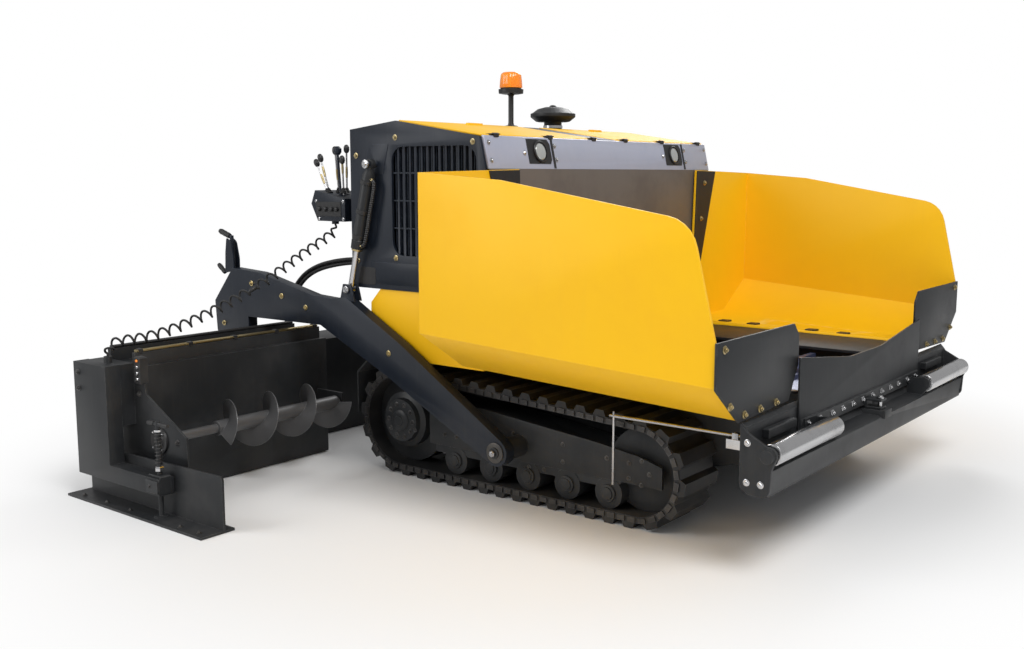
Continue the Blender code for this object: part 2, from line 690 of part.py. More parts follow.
def side_panel(side_name, side):
    outline = [(COWL_REAR_X, SKIRT_Z), (0.318, SKIRT_Z), (0.318, BACK_WALL_TOP_Z + 0.01),
               (0.284, COWL_FRONT_TOP_Z), (RIDGE_X, RIDGE_Z), (COWL_REAR_X, COWL_REAR_TOP_Z)]
    panel = prism(
        "side_panel_" + side_name, outline, "y", side * COWL_HALF_WIDTH, side * PANEL_OUTER_Y, navy())
    low_x, high_x = GRILLE_REAR_X + GRILLE_CORNER, GRILLE_FRONT_X - GRILLE_CORNER
    low_z, high_z = GRILLE_BOTTOM_Z + GRILLE_CORNER, GRILLE_TOP_Z - GRILLE_CORNER
    window = arc((high_x, low_z), GRILLE_CORNER, -90, 0, 5) + arc((high_x, high_z), GRILLE_CORNER, 0, 90, 5)
    window += arc(
        (low_x, high_z), GRILLE_CORNER, 90, 180, 5) + arc((low_x, low_z), GRILLE_CORNER, 180, 270, 5)
    through = (side * (COWL_HALF_WIDTH - 0.05), side * (PANEL_OUTER_Y + 0.05))
    cut(panel, prism("grille_window_" + side_name, window, "y", through[0], through[1], navy()))
    bars = []
    pitch = (GRILLE_FRONT_X - GRILLE_REAR_X) / (GRILLE_BARS + 1)
    bar_y = sorted((side * (COWL_HALF_WIDTH + 0.002), side * (COWL_HALF_WIDTH + 0.008)))
    for index in range(GRILLE_BARS):
        x = GRILLE_REAR_X + (index + 1) * pitch
        bars.append(box(
            "grille_bar_%s_%d" % (side_name, index), (x - 0.006, x + 0.006), bar_y,
            (GRILLE_BOTTOM_Z - 0.004, GRILLE_TOP_Z + 0.004), graphite()))
    parts = []
    pin_y = side * (PANEL_OUTER_Y - 0.004)
    cheek_out = side * (PANEL_OUTER_Y + 0.003)
    cheek = [(CYLINDER_TOP_X - 0.09, CYLINDER_TOP_Z - 0.05), (CYLINDER_TOP_X + 0.05, CYLINDER_TOP_Z - 0.05),
             (CYLINDER_TOP_X + 0.09, CYLINDER_TOP_Z + 0.10), (CYLINDER_TOP_X - 0.05, CYLINDER_TOP_Z + 0.10)]
    parts.append(prism("cylinder_bracket_" + side_name, cheek, "y", pin_y, cheek_out, graphite()))
    parts.append(rod(
        "cylinder_pin_" + side_name, (CYLINDER_TOP_X, pin_y, CYLINDER_TOP_Z),
        (CYLINDER_TOP_X, side * (ARM_Y + 0.032), CYLINDER_TOP_Z), CYLINDER_PIN, bare_steel(), 20))
    y = sorted((side * (PANEL_OUTER_Y - 0.004), side * (PANEL_OUTER_Y + 0.002)))
    parts.append(box("panel_foot_" + side_name, (-0.455, -0.110), y, (DECK_TOP_Z - 0.004, 1.150), navy()))
    return fuse(panel, *bars, *parts)


def light_panel():
    back = 0.2843
    outline = [
        (0.320, BACK_WALL_TOP_Z + GAP), (0.334, BACK_WALL_TOP_Z + GAP), (back + 0.014, 1.786),
        (back, 1.790), (back, 1.776)]
    half = COWL_HALF_WIDTH - GAP
    panel = prism("light_panel", outline, "y", -half, half, silver())
    lean = Vector((0.155, 0, 0.036)).normalized()
    lamps = []
    for side_name, side in SIDES:
        centre = Vector((0.304, side * 0.672, 1.712))
        lamps.append(turned(
            "work_light_" + side_name, [(0, 0.046), (0.012, 0.046), (0.017, 0.036)], centre, lean,
            silver(), 20))
    return fuse(panel, *lamps)


def hood_door(side_name, side):
    hinge = Vector((0.277, side * 0.100, 1.789))
    outline = [
        (0.277, 1.785), (0.277, 1.794), (RIDGE_X + 0.004, RIDGE_Z + 0.004),
        (RIDGE_X + 0.004, RIDGE_Z - 0.009)]
    door = prism(
        "hood_door_" + side_name, outline, "y", side * 0.100, side * (COWL_HALF_WIDTH - CLEARANCE),
        yellow())
    barrel = rod(
        "hood_barrel_" + side_name, hinge, (hinge.x, side * (COWL_HALF_WIDTH - CLEARANCE), hinge.z),
        0.007, yellow(), 12)
    handle_z = 1.846
    grip = box(
        "hood_grip_" + side_name, (-0.200, -0.180), sorted((side * 0.52, side * 0.64)),
        (handle_z, handle_z + 0.030), graphite())
    fuse(door, barrel, grip)
    return hang(door, pivot("hood_axis_" + side_name, hinge))


def rear_cowl():
    top = [(RIDGE_X - CLEARANCE, RIDGE_Z), (COWL_REAR_X, COWL_REAR_TOP_Z), (COWL_REAR_X, SKIRT_Z),
           (COWL_REAR_X + COWL_PLATE, SKIRT_Z), (COWL_REAR_X + COWL_PLATE, COWL_REAR_TOP_Z - COWL_PLATE),
           (RIDGE_X - CLEARANCE, RIDGE_Z - COWL_PLATE)]
    half = COWL_HALF_WIDTH - GAP
    cowl = prism("rear_cowl", top, "y", -half, half, navy())
    strip = [
        (RIDGE_X - 0.02, RIDGE_Z - COWL_PLATE), (RIDGE_X - 0.02, RIDGE_Z + 0.002),
        (RIDGE_X, RIDGE_Z + 0.002), (0.268, 1.794), (0.268, 1.780),
        (RIDGE_X, RIDGE_Z - COWL_PLATE - 0.004)]
    spine = prism("rear_cowl_spine", strip, "y", -0.094, 0.094, silver())
    boss = box(
        "rear_cowl_boss", (BEACON_X - 0.075, BEACON_X + 0.075), (-0.060, 0.060), (1.845, 1.874), navy())
    seat = rod(
        "rear_cowl_seat", (BEACON_X, PRE_CLEANER_Y, 1.845), (BEACON_X, PRE_CLEANER_Y, 1.874), 0.065,
        navy())
    return fuse(cowl, spine, boss, seat)


def beacon():
    base = Vector((BEACON_X, 0, 1.874 + GAP))
    high = BEACON_TOP_Z - base.z
    profile = [(0, 0.045), (0.012, 0.045), (0.014, 0.015), (high - 0.134, 0.015), (high - 0.132, 0.0735),
               (high - 0.110, 0.0735), (high - 0.105, 0.068), (high - 0.020, 0.060), (high, 0.040)]
    return turned("beacon", profile, base, AXIS_Z, amber())


def pre_cleaner():
    base = Vector((BEACON_X, PRE_CLEANER_Y, 1.874 + GAP))
    wide = PRE_CLEANER_RADIUS
    profile = [
        (0, 0.055), (0.050, 0.055), (0.052, 0.105), (0.080, wide), (0.100, wide), (0.104, wide - 0.012),
        (0.128, wide - 0.045), (0.140, 0.050)]
    return turned("pre_cleaner", profile, base, AXIS_Z, graphite())


def engine_block():
    return box("engine_block", (-0.430, 0.180), (-0.780, 0.780), (DECK_TOP_Z + GAP, 1.600), graphite())


def side_tank(side_name, side):
    top = SKIRT_Z - GAP
    outline = [
        (TANK_REAR_X, 0.750), (-0.245, TANK_BOTTOM_Z), (TANK_FRONT_X, TANK_BOTTOM_Z),
        (TANK_FRONT_X, top), (-0.400, top), (TANK_REAR_X + 0.005, 0.936)]
    low = side * (FRAME_HALF_WIDTH + GAP)
    return prism("side_tank_" + side_name, outline, "y", low, side * TANK_HALF_WIDTH, yellow())


def console(side_name, side):
    low, high = side * 0.740, side * 0.985
    outline = [(-0.780, 1.345), (-1.000, 1.345), (-1.052, 1.440), (-1.020, 1.515), (-0.780, 1.470)]
    housing = prism("console_" + side_name, outline, "y", low, high, navy())
    parts = [box(
        "console_arm_" + side_name, (-0.800, COWL_REAR_X - GAP), sorted((side * 0.800, side * 0.920)),
        (1.370, 1.440), graphite())]
    for index, (x, y, lean) in enumerate(((-0.870, 0.800, 0.03), (-0.900, 0.900, -0.02))):
        foot = Vector((x, side * y, 1.480))
        tip = Vector((x + lean, side * y, 1.720))
        parts.append(rod("console_lever_%s_%d" % (side_name, index), foot, tip, 0.007, bare_steel(), 8))
        parts.append(turned(
            "console_knob_%s_%d" % (side_name, index),
            [(0, 0.012), (0.015, 0.022), (0.035, 0.022), (0.048, 0.010)], tip - AXIS_Z * 0.01, AXIS_Z,
            rubber(), 12))
    if side < 0:
        parts.append(rod(
            "console_gland", (*CORD_START[:2], CORD_START[2] + GAP), (*CORD_START[:2], 1.360),
            GLAND_RADIUS, rubber(), 16))
    return fuse(housing, *parts)


# ---------------------------------------------------------------- augers

def auger(name, x, side, low, high, flight_low, flight_high, radius, hand):
    # One closed skin: a thin shaft, then a tube with a sector raised to the flight's edge.
    sector = math.radians(360.0 * FLIGHT_THICKNESS / FLIGHT_PITCH)
    turns = (flight_high - flight_low) / FLIGHT_PITCH
    steps = int(round(turns * 14))
    angles = [sector + (2 * math.pi - sector) * index / 10 for index in range(11)]
    bm = bmesh.new()

    def ring(y, turn, tube, edge):
        row = []
        for angle in angles:
            row.append((angle, tube))
        row += [(2 * math.pi, edge), (2 * math.pi + sector, edge)]
        made = []
        for angle, length in row:
            spin = angle + turn
            made.append(bm.verts.new((
                x + length * math.cos(spin), side * y, AUGER_Z + length * math.sin(spin))))
        return made

    rings = [ring(low, 0, AUGER_SHAFT, AUGER_SHAFT), ring(flight_low, 0, AUGER_SHAFT, AUGER_SHAFT)]
    for index in range(steps + 1):
        share = index / steps
        turn = hand * side * 2 * math.pi * turns * share
        rings.append(ring(flight_low + (flight_high - flight_low) * share, turn, AUGER_TUBE, radius))
    last = hand * side * 2 * math.pi * turns
    rings.append(ring(flight_high, last, AUGER_SHAFT, AUGER_SHAFT))
    rings.append(ring(high, last, AUGER_SHAFT, AUGER_SHAFT))
    for row, following in zip(rings, rings[1:]):
        for index in range(len(row)):
            after = (index + 1) % len(row)
            bm.faces.new((row[index], row[after], following[after], following[index]))
    bm.faces.new(rings[0])
    bm.faces.new(rings[-1])
    bmesh.ops.remove_doubles(bm, verts=bm.verts, dist=1e-6)
    screw = solid(name, bm, worn_steel())
    return screw


def main_auger(side_name, side):
    low = 0.050 + GAP
    high = FRAME_HALF_WIDTH - FRAME_PLATE - GAP
    screw = auger(
        "main_auger_" + side_name, MAIN_AUGER_X, side, low, high, low + 0.03, high - 0.02,
        MAIN_AUGER_RADIUS, 1)
    return hang(screw, pivot("main_auger_axis_" + side_name, (MAIN_AUGER_X, side * low, AUGER_Z)))


# ---------------------------------------------------------------- towing

def tow_arm(side_name, side, lift):
    low, high = side * ARM_INNER_Y, side * ARM_OUTER_Y
    end = arc((TOW_PIN_X, TOW_PIN_Z), ARM_END_RADIUS, 60, -130, 8)
    outline = [(-0.185, 0.743)] + end + [
        (-0.296, 0.575), (-0.785, 0.794), (-1.400, 0.790), (-1.400, SCREED_TOP_Z + GAP),
        (SCREED_REAR_X + 0.004, SCREED_TOP_Z + GAP), (-1.692, 0.690), (-1.705, 0.864), (-1.532, 1.064),
        (-1.290, 1.050), (-0.842, 0.952), (-0.700, 0.944), (-0.583, 0.958)]
    arm = prism("tow_arm_" + side_name, outline, "y", low, high, navy())
    bore = rod(
        "tow_bore_" + side_name, (TOW_PIN_X, low - side * 0.05, TOW_PIN_Z),
        (TOW_PIN_X, high + side * 0.05, TOW_PIN_Z), TOW_PIN_RADIUS + RUNNING_GAP, navy())
    parts = []
    lug = [
        (CYLINDER_EYE_X - 0.055, 0.940), (CYLINDER_EYE_X + 0.055, 0.940),
        (CYLINDER_EYE_X + 0.030, CYLINDER_EYE_Z + 0.028),
        (CYLINDER_EYE_X - 0.030, CYLINDER_EYE_Z + 0.028)]
    for label, near, far in (("in", 0.004, 0.013), ("out", ARM_WIDTH - 0.013, ARM_WIDTH - 0.004)):
        parts.append(prism(
            "arm_lug_%s_%s" % (label, side_name), lug, "y", low + side * near, low + side * far,
            navy()))
    handle = (low + high) * 0.5
    parts.append(rod(
        "arm_crank_" + side_name, (-1.570, handle, 1.000), (-1.570, handle, 1.250), 0.012, bare_steel(),
        10))
    parts.append(rod(
        "arm_crank_grip_" + side_name, (-1.570, handle, 1.240), (-1.640, handle, 1.262), 0.010,
        bare_steel(), 10))
    cut(arm, bore)
    return hang(fuse(arm, *parts), lift)


def cylinder_line(side):
    top = Vector((CYLINDER_TOP_X, side * ARM_Y, CYLINDER_TOP_Z))
    eye = Vector((CYLINDER_EYE_X, side * ARM_Y, CYLINDER_EYE_Z))
    return top, eye, (eye - top).normalized()


def lift_barrel(side_name, side):
    top, eye, line = cylinder_line(side)
    profile = [
        (0.020, 0.018), (0.045, 0.026), (0.060, BARREL_RADIUS), (BARREL_LENGTH - 0.05, BARREL_RADIUS),
        (BARREL_LENGTH - 0.045, BARREL_RADIUS + 0.004), (BARREL_LENGTH, BARREL_RADIUS + 0.002)]
    barrel = turned("lift_barrel_" + side_name, profile, top, line, graphite(), 20)
    ring = rod(
        "barrel_eye_" + side_name, top - AXIS_Y * 0.014, top + AXIS_Y * 0.014, EYE_RADIUS, graphite(),
        20)
    fuse(barrel, ring)
    hole = rod(
        "barrel_hole_" + side_name, top - AXIS_Y * 0.05, top + AXIS_Y * 0.05,
        CYLINDER_PIN + RUNNING_GAP, graphite(), 20)
    bore = rod(
        "barrel_bore_" + side_name, top + line * 0.070, top + line * (BARREL_LENGTH + 0.05),
        ROD_RADIUS + RUNNING_GAP, graphite(), 20)
    cut(barrel, hole, bore)
    return hang(barrel, pivot("barrel_axis_" + side_name, top))


def lift_rod(side_name, side, barrel):
    top, eye, line = cylinder_line(side)
    start = top + line * (BARREL_LENGTH - ROD_ENGAGED)
    piece = rod("lift_rod_" + side_name, start, eye - line * 0.01, ROD_RADIUS, bare_steel(), 20)
    ring = rod(
        "rod_eye_" + side_name, eye - AXIS_Y * 0.013, eye + AXIS_Y * 0.013, EYE_RADIUS, bare_steel(),
        20)
    fuse(piece, ring)
    return hang(piece, barrel.parent)


# ---------------------------------------------------------------- screed

def screed_main(lift):
    half = SCREED_HALF_WIDTH
    body = box(
        "screed_main", (SCREED_REAR_X, SCREED_FRONT_X), (-half, half), (SOLE_Z, SCREED_TOP_Z), navy())
    plate = SCREED_PLATE
    inside = box(
        "screed_main_inside", (SCREED_REAR_X + plate, SCREED_FRONT_X - plate),
        (-half + plate, half - plate), (SOLE_Z + SOLE_PLATE, SCREED_TOP_Z - plate), navy())
    bores = []
    for side_name, side in SIDES:
        bores.append(rod(
            "screed_bore_" + side_name, (GUIDE_TUBE_X, side * (half - 0.05), GUIDE_TUBE_Z),
            (GUIDE_TUBE_X, side * (half + 0.05), GUIDE_TUBE_Z), GUIDE_TUBE_RADIUS + RUNNING_GAP, navy(),
            24))
    return hang(cut(body, inside, *bores), lift)


def walkway(lift):
    front = SCREED_REAR_X - GAP
    step = box(
        "walkway", (WALKWAY_REAR_X, front), (-1.190, 1.190), (WALKWAY_Z, WALKWAY_Z + WALKWAY_PLATE),
        graphite())
    parts = []
    for y in (-0.900, -0.300, 0.300, 0.900):
        web = [
            (front, WALKWAY_Z + 0.005), (WALKWAY_REAR_X + 0.06, WALKWAY_Z + 0.005),
            (front, WALKWAY_Z - 0.110)]
        parts.append(prism("walkway_web%d" % round(y * 10), web, "y", y - 0.006, y + 0.006, graphite()))
    return hang(fuse(step, *parts), lift)


def screed_extension(side_name, side, lift):
    name = "screed_extension_" + side_name
    inner, outer = side * EXTENSION_INNER_Y, side * (END_PLATE_Y + 0.002)
    rear = SCREED_FRONT_X + 0.010
    wall = SCREED_PLATE
    section = [
        (WALL_FRONT_X, SOLE_Z), (WALL_FRONT_X, WALL_TOP_Z), (rear, WALL_TOP_Z),
        (rear, WALL_TOP_Z - 0.03), (WALL_FRONT_X - wall, WALL_TOP_Z - 0.03),
        (WALL_FRONT_X - wall, SOLE_Z + SOLE_PLATE), (rear, SOLE_Z + SOLE_PLATE), (rear, SOLE_Z)]
    body = prism(name, section, "y", inner, outer, navy())
    axis = pivot("extension_axis_" + side_name, (SCREED_FRONT_X, side * SCREED_HALF_WIDTH, GUIDE_TUBE_Z))
    hang(axis, lift)
    plate_in, plate_out = side * END_PLATE_Y, side * (END_PLATE_Y + SCREED_PLATE)
    plate = [
        (-0.990, WALL_TOP_Z), (-1.350, WALL_TOP_Z), (-1.580, 0.490), (-1.580, 0.320), (-1.360, 0.030),
        (-0.680, 0.030), (-0.646, 0.070), (-0.646, 0.240), (-0.653, 0.372), (-0.965, 0.540)]
    parts = [prism(name + "_end", plate, "y", plate_in, plate_out, navy())]
    for x in (-1.075, -1.290):
        parts.append(box(
            name + "_rail%d" % round(-x * 100), (x - 0.012, x + 0.012),
            sorted((inner + side * 0.02, plate_in)), (WALL_TOP_Z - 0.01, 0.735), yellow()))
    for share in (0.03, 0.5, 0.95):
        y = inner + (plate_in - inner) * share
        parts.append(box(
            name + "_rib%d" % round(share * 100), (rear, WALL_FRONT_X - 0.002),
            sorted((y - 0.006, y + 0.006)), (SOLE_Z + 0.01, WALL_TOP_Z - 0.01), navy()))
    tube_inner = side * (SCREED_HALF_WIDTH - GUIDE_TUBE_ENGAGED)
    parts.append(rod(
        name + "_tube", (GUIDE_TUBE_X, tube_inner, GUIDE_TUBE_Z),
        (GUIDE_TUBE_X, plate_in + side * 0.004, GUIDE_TUBE_Z), GUIDE_TUBE_RADIUS, bare_steel(), 24))
    post_y = sorted((side * (GATE_Y + GATE_PLATE + CLEARANCE), side * (GATE_Y + 0.100)))
    joint_y = sorted((plate_out - side * 0.002, side * (GATE_Y + 0.098)))
    parts.append(box(name + "_post", (-1.340, -1.060), post_y, (0.125, 0.690), navy()))
    parts.append(box(name + "_post_joint", (-1.338, -1.062), joint_y, (0.385, 0.688), navy()))
    parts.append(box(name + "_shoe_beam", (-1.065, JACK_X + 0.045), post_y, (0.125, 0.205), navy()))
    disc = rod(
        name + "_bearing", (SCREED_AUGER_X, side * (END_PLATE_Y - 0.025), AUGER_Z),
        (SCREED_AUGER_X, plate_in + side * 0.004, AUGER_Z), 0.060, navy(), 20)
    bracket_y = sorted((side * AUGER_BRACKET_Y, side * (AUGER_BRACKET_Y + SCREED_PLATE)))
    bracket_z = (AUGER_Z - 0.055, AUGER_Z + 0.055)
    bracket = box(
        name + "_bracket", (WALL_FRONT_X - 0.004, SCREED_AUGER_X + 0.035), bracket_y, bracket_z, navy())
    if side < 0:
        gland_y = side * (GATE_Y + GLAND_INSET)
        parts.append(rod(
            name + "_gland", (CORD_END[0], gland_y, 0.680), (CORD_END[0], gland_y, CORD_END[2] - GAP),
            GLAND_RADIUS, rubber(), 16))
    fuse(body, disc, bracket, *parts)
    jack_hole = rod(
        name + "_jack_hole", (JACK_X, side * JACK_Y, 0.100), (JACK_X, side * JACK_Y, 0.250),
        JACK_RADIUS + RUNNING_GAP, navy(), 16)
    cut(body, jack_hole)
    return hang(body, axis)


def extension_auger(side_name, side, extension):
    low = AUGER_BRACKET_Y + SCREED_PLATE + GAP
    high = END_PLATE_Y - 0.025 - GAP
    screw = auger(
        "extension_auger_" + side_name, SCREED_AUGER_X, side, low, high, low + 0.017, low + 0.825,
        SCREED_AUGER_RADIUS, 1)
    axis = pivot("extension_auger_axis_" + side_name, (SCREED_AUGER_X, side * low, AUGER_Z))
    hang(axis, extension.parent)
    return hang(screw, axis)


def end_gate(side_name, side, extension):
    ski = box(
        "end_gate_" + side_name, (SKI_REAR_X, SKI_FRONT_X),
        sorted((side * SKI_Y, side * (SKI_Y + SKI_WIDTH))), (0.0, SKI_PLATE), worn_steel())
    low, high = SKI_PLATE - 0.002, GATE_TOP_Z
    plate = [(GATE_REAR_X, low), (GATE_FRONT_X, low)]
    plate += arc((GATE_FRONT_X - 0.025, high - 0.025), 0.025, 0, 90, 4) + [(GATE_REAR_X, high - 0.020)]
    blade = prism(
        "end_gate_blade_" + side_name, plate, "y", side * GATE_Y, side * (GATE_Y + GATE_PLATE),
        worn_steel())
    jack = rod(
        "end_gate_jack_" + side_name, (JACK_X, side * JACK_Y, 0.010), (JACK_X, side * JACK_Y, 0.470),
        JACK_RADIUS, bare_steel(), 16)
    grip = rod(
        "end_gate_grip_" + side_name, (JACK_X - 0.06, side * JACK_Y, 0.455),
        (JACK_X + 0.06, side * JACK_Y, 0.455), 0.009, bare_steel(), 10)
    foot = rod(
        "end_gate_foot_" + side_name, (JACK_X, side * JACK_Y, 0.010), (JACK_X, side * JACK_Y, 0.020),
        0.035, worn_steel(), 16)
    axis = pivot("gate_axis_" + side_name, (JACK_X, side * JACK_Y, 0.0))
    hang(axis, extension.parent)
    return hang(fuse(ski, blade, jack, grip, foot), axis)


# ---------------------------------------------------------------- cords

def smooth_route(knots, pieces):
    # Catmull-Rom curve through the knots
    places = [Vector(knot) for knot in knots]
    padded = [2 * places[0] - places[1]] + places + [2 * places[-1] - places[-2]]
    route = []
    for index in range(len(places) - 1):
        before, start, end, after = padded[index:index + 4]
        for step in range(pieces):
            t = step / pieces
            square = (2 * before - 5 * start + 4 * end - after) * t * t
            cube = (3 * start - before - 3 * end + after) * t * t * t
            route.append(0.5 * (2 * start + (end - before) * t + square + cube))
    return route + [places[-1]]


def cord(name, knots, radius, pieces):
    route = smooth_route(knots, pieces)
    curve = bpy.data.curves.new(name, "CURVE")
    curve.dimensions = "3D"
    line = curve.splines.new("POLY")
    line.points.add(len(route) - 1)
    for point, place in zip(line.points, route):
        point.co = (*place, 1.0)
    curve.bevel_depth = radius
    curve.bevel_resolution = 2
    curve.use_fill_caps = True
    curve.materials.append(rubber())
    made = bpy.data.objects.new(name, curve)
    bpy.context.collection.objects.link(made)
    return made


def hose_bundle(side_name, side):
    y = side * HOSE_Y
    knots = (
        (COWL_REAR_X - GAP, y, 1.130), (-0.650, y, 1.130), (-0.700, y, 1.130), (-0.850, y, 1.122),
        (-1.003, y, 1.100), (-1.150, y, 1.062), (-1.270, y, 1.000), (-1.365, y, 0.900),
        (-1.415, y, 0.780), (-1.430, y, 0.680), (-1.430, y, 0.640), (-1.430, y, SCREED_TOP_Z + GAP))
    return cord("hose_bundle_" + side_name, knots, HOSE_RADIUS, 5)


def curly_cord():
    # from under the right console down to the right extension's post
    knots = (
        CORD_START, (-0.950, -0.900, 1.313), (-0.950, -0.900, 1.301), (-0.954, -0.918, 1.274),
        (-0.965, -0.985, 1.234), (-0.987, -1.134, 1.154), (-1.015, -1.320, 1.048),
        (-1.046, -1.504, 0.958), (-1.069, -1.650, 0.898), (-1.092, -1.790, 0.848),
        (-1.115, -1.930, 0.810), (-1.135, -2.050, 0.792), (-1.150, -2.140, 0.788),
        (-1.158, -2.200, 0.774), (-1.160, -2.220, 0.748), (-1.160, -2.220, 0.735), CORD_END)
    return cord("curly_cord", knots, CURLY_RADIUS, 4)


def build():
    clear_scene()
    main_frame()
    conveyor()
    push_beam()
    front_apron()
    steering_guide()
    back_wall()
    light_panel()
    rear_cowl()
    beacon()
    pre_cleaner()
    engine_block()
    curly_cord()
    lift = pivot("screed_lift_axis", (TOW_PIN_X, 0, TOW_PIN_Z))
    screed_main(lift)
    walkway(lift)
    for side_name, side in SIDES:
        track_frame(side_name, side)
        track(side_name, side)
        push_roller(side_name, side)
        wing = hopper_wing(side_name, side)
        wing_flashing(side_name, side, wing)
        side_panel(side_name, side)
        hood_door(side_name, side)
        side_tank(side_name, side)
        console(side_name, side)
        main_auger(side_name, side)
        tow_arm(side_name, side, lift)
        barrel = lift_barrel(side_name, side)
        lift_rod(side_name, side, barrel)
        extension = screed_extension(side_name, side, lift)
        extension_auger(side_name, side, extension)
        end_gate(side_name, side, extension)
        hose_bundle(side_name, side)


build()
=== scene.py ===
import bmesh
import bpy
import json
import math
import numpy as np
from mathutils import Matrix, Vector
from mathutils.bvhtree import BVHTree


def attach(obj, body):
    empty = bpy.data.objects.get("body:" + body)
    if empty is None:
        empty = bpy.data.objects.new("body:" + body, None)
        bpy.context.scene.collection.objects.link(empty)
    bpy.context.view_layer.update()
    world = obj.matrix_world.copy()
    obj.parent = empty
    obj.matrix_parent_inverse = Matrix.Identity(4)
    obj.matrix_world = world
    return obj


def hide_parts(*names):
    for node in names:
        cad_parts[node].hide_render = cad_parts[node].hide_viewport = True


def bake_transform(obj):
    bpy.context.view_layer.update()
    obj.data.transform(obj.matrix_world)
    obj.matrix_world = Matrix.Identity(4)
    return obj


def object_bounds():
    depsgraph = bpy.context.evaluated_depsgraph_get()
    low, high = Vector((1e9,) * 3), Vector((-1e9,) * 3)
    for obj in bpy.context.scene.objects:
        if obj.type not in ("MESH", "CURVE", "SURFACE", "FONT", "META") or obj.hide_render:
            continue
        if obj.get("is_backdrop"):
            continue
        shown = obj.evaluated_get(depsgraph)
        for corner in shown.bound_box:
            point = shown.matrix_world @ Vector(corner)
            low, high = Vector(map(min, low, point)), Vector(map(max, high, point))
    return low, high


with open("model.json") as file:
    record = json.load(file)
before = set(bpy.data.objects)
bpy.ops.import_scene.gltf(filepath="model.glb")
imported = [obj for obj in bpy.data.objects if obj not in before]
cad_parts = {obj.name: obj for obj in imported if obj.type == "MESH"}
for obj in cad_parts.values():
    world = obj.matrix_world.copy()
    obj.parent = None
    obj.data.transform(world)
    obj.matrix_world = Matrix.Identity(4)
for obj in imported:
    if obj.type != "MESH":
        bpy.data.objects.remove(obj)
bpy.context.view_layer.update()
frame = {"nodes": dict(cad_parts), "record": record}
nodes = frame["nodes"]
sides = (("l", 1), ("r", -1))
print("frame loaded")


# camera and light

cameraLook = {"place": (3.615, -5.085, 1.605), "ahead": (-0.61273, 0.77810, -0.13829), "lens": 37.9}
lightLook = {"keyPower": 430.0, "fillPower": 230.0, "rimPower": 260.0, "skyGrey": 0.80, "skyPower": 0.52,
             "floorGrey": 0.86, "clearFrom": 2.1, "clearTo": 3.4}


def aimCamera(look):
    eye = bpy.data.objects.new("camera", bpy.data.cameras.new("camera"))
    eye.data.lens = look["lens"]
    eye.data.sensor_width = 36.0
    eye.location = look["place"]
    eye.rotation_mode = "QUATERNION"
    eye.rotation_quaternion = Vector(look["ahead"]).to_track_quat("-Z", "Y")
    bpy.context.scene.collection.objects.link(eye)
    bpy.context.scene.camera = eye
    bpy.context.scene.view_settings.view_transform = "Standard"


def softLamp(name, place, target, size, power):
    lamp = bpy.data.objects.new(name, bpy.data.lights.new(name, "AREA"))
    lamp.data.shape = "DISK"
    lamp.data.size = size
    lamp.data.energy = power
    lamp.location = place
    lamp.rotation_mode = "QUATERNION"
    lamp.rotation_quaternion = (Vector(target) - Vector(place)).to_track_quat("-Z", "Y")
    bpy.context.scene.collection.objects.link(lamp)


def whiteRoom(look):
    # the camera sees white behind the machine, its surfaces see a grey studio sky
    world = bpy.data.worlds.new("studio")
    world.use_nodes = True
    tree = world.node_tree
    tree.nodes.clear()
    lightPath = tree.nodes.new("ShaderNodeLightPath")
    seen = tree.nodes.new("ShaderNodeMath")
    seen.operation = "MAXIMUM"
    tree.links.new(lightPath.outputs["Is Camera Ray"], seen.inputs[0])
    tree.links.new(lightPath.outputs["Is Transmission Ray"], seen.inputs[1])
    sky = tree.nodes.new("ShaderNodeBackground")
    sky.inputs["Color"].default_value = (look["skyGrey"],) * 3 + (1.0,)
    sky.inputs["Strength"].default_value = look["skyPower"]
    white = tree.nodes.new("ShaderNodeBackground")
    white.inputs["Color"].default_value = (1.0, 1.0, 1.0, 1.0)
    pick = tree.nodes.new("ShaderNodeMixShader")
    tree.links.new(seen.outputs[0], pick.inputs[0])
    tree.links.new(sky.outputs[0], pick.inputs[1])
    tree.links.new(white.outputs[0], pick.inputs[2])
    out = tree.nodes.new("ShaderNodeOutputWorld")
    tree.links.new(pick.outputs[0], out.inputs["Surface"])
    bpy.context.scene.world = world


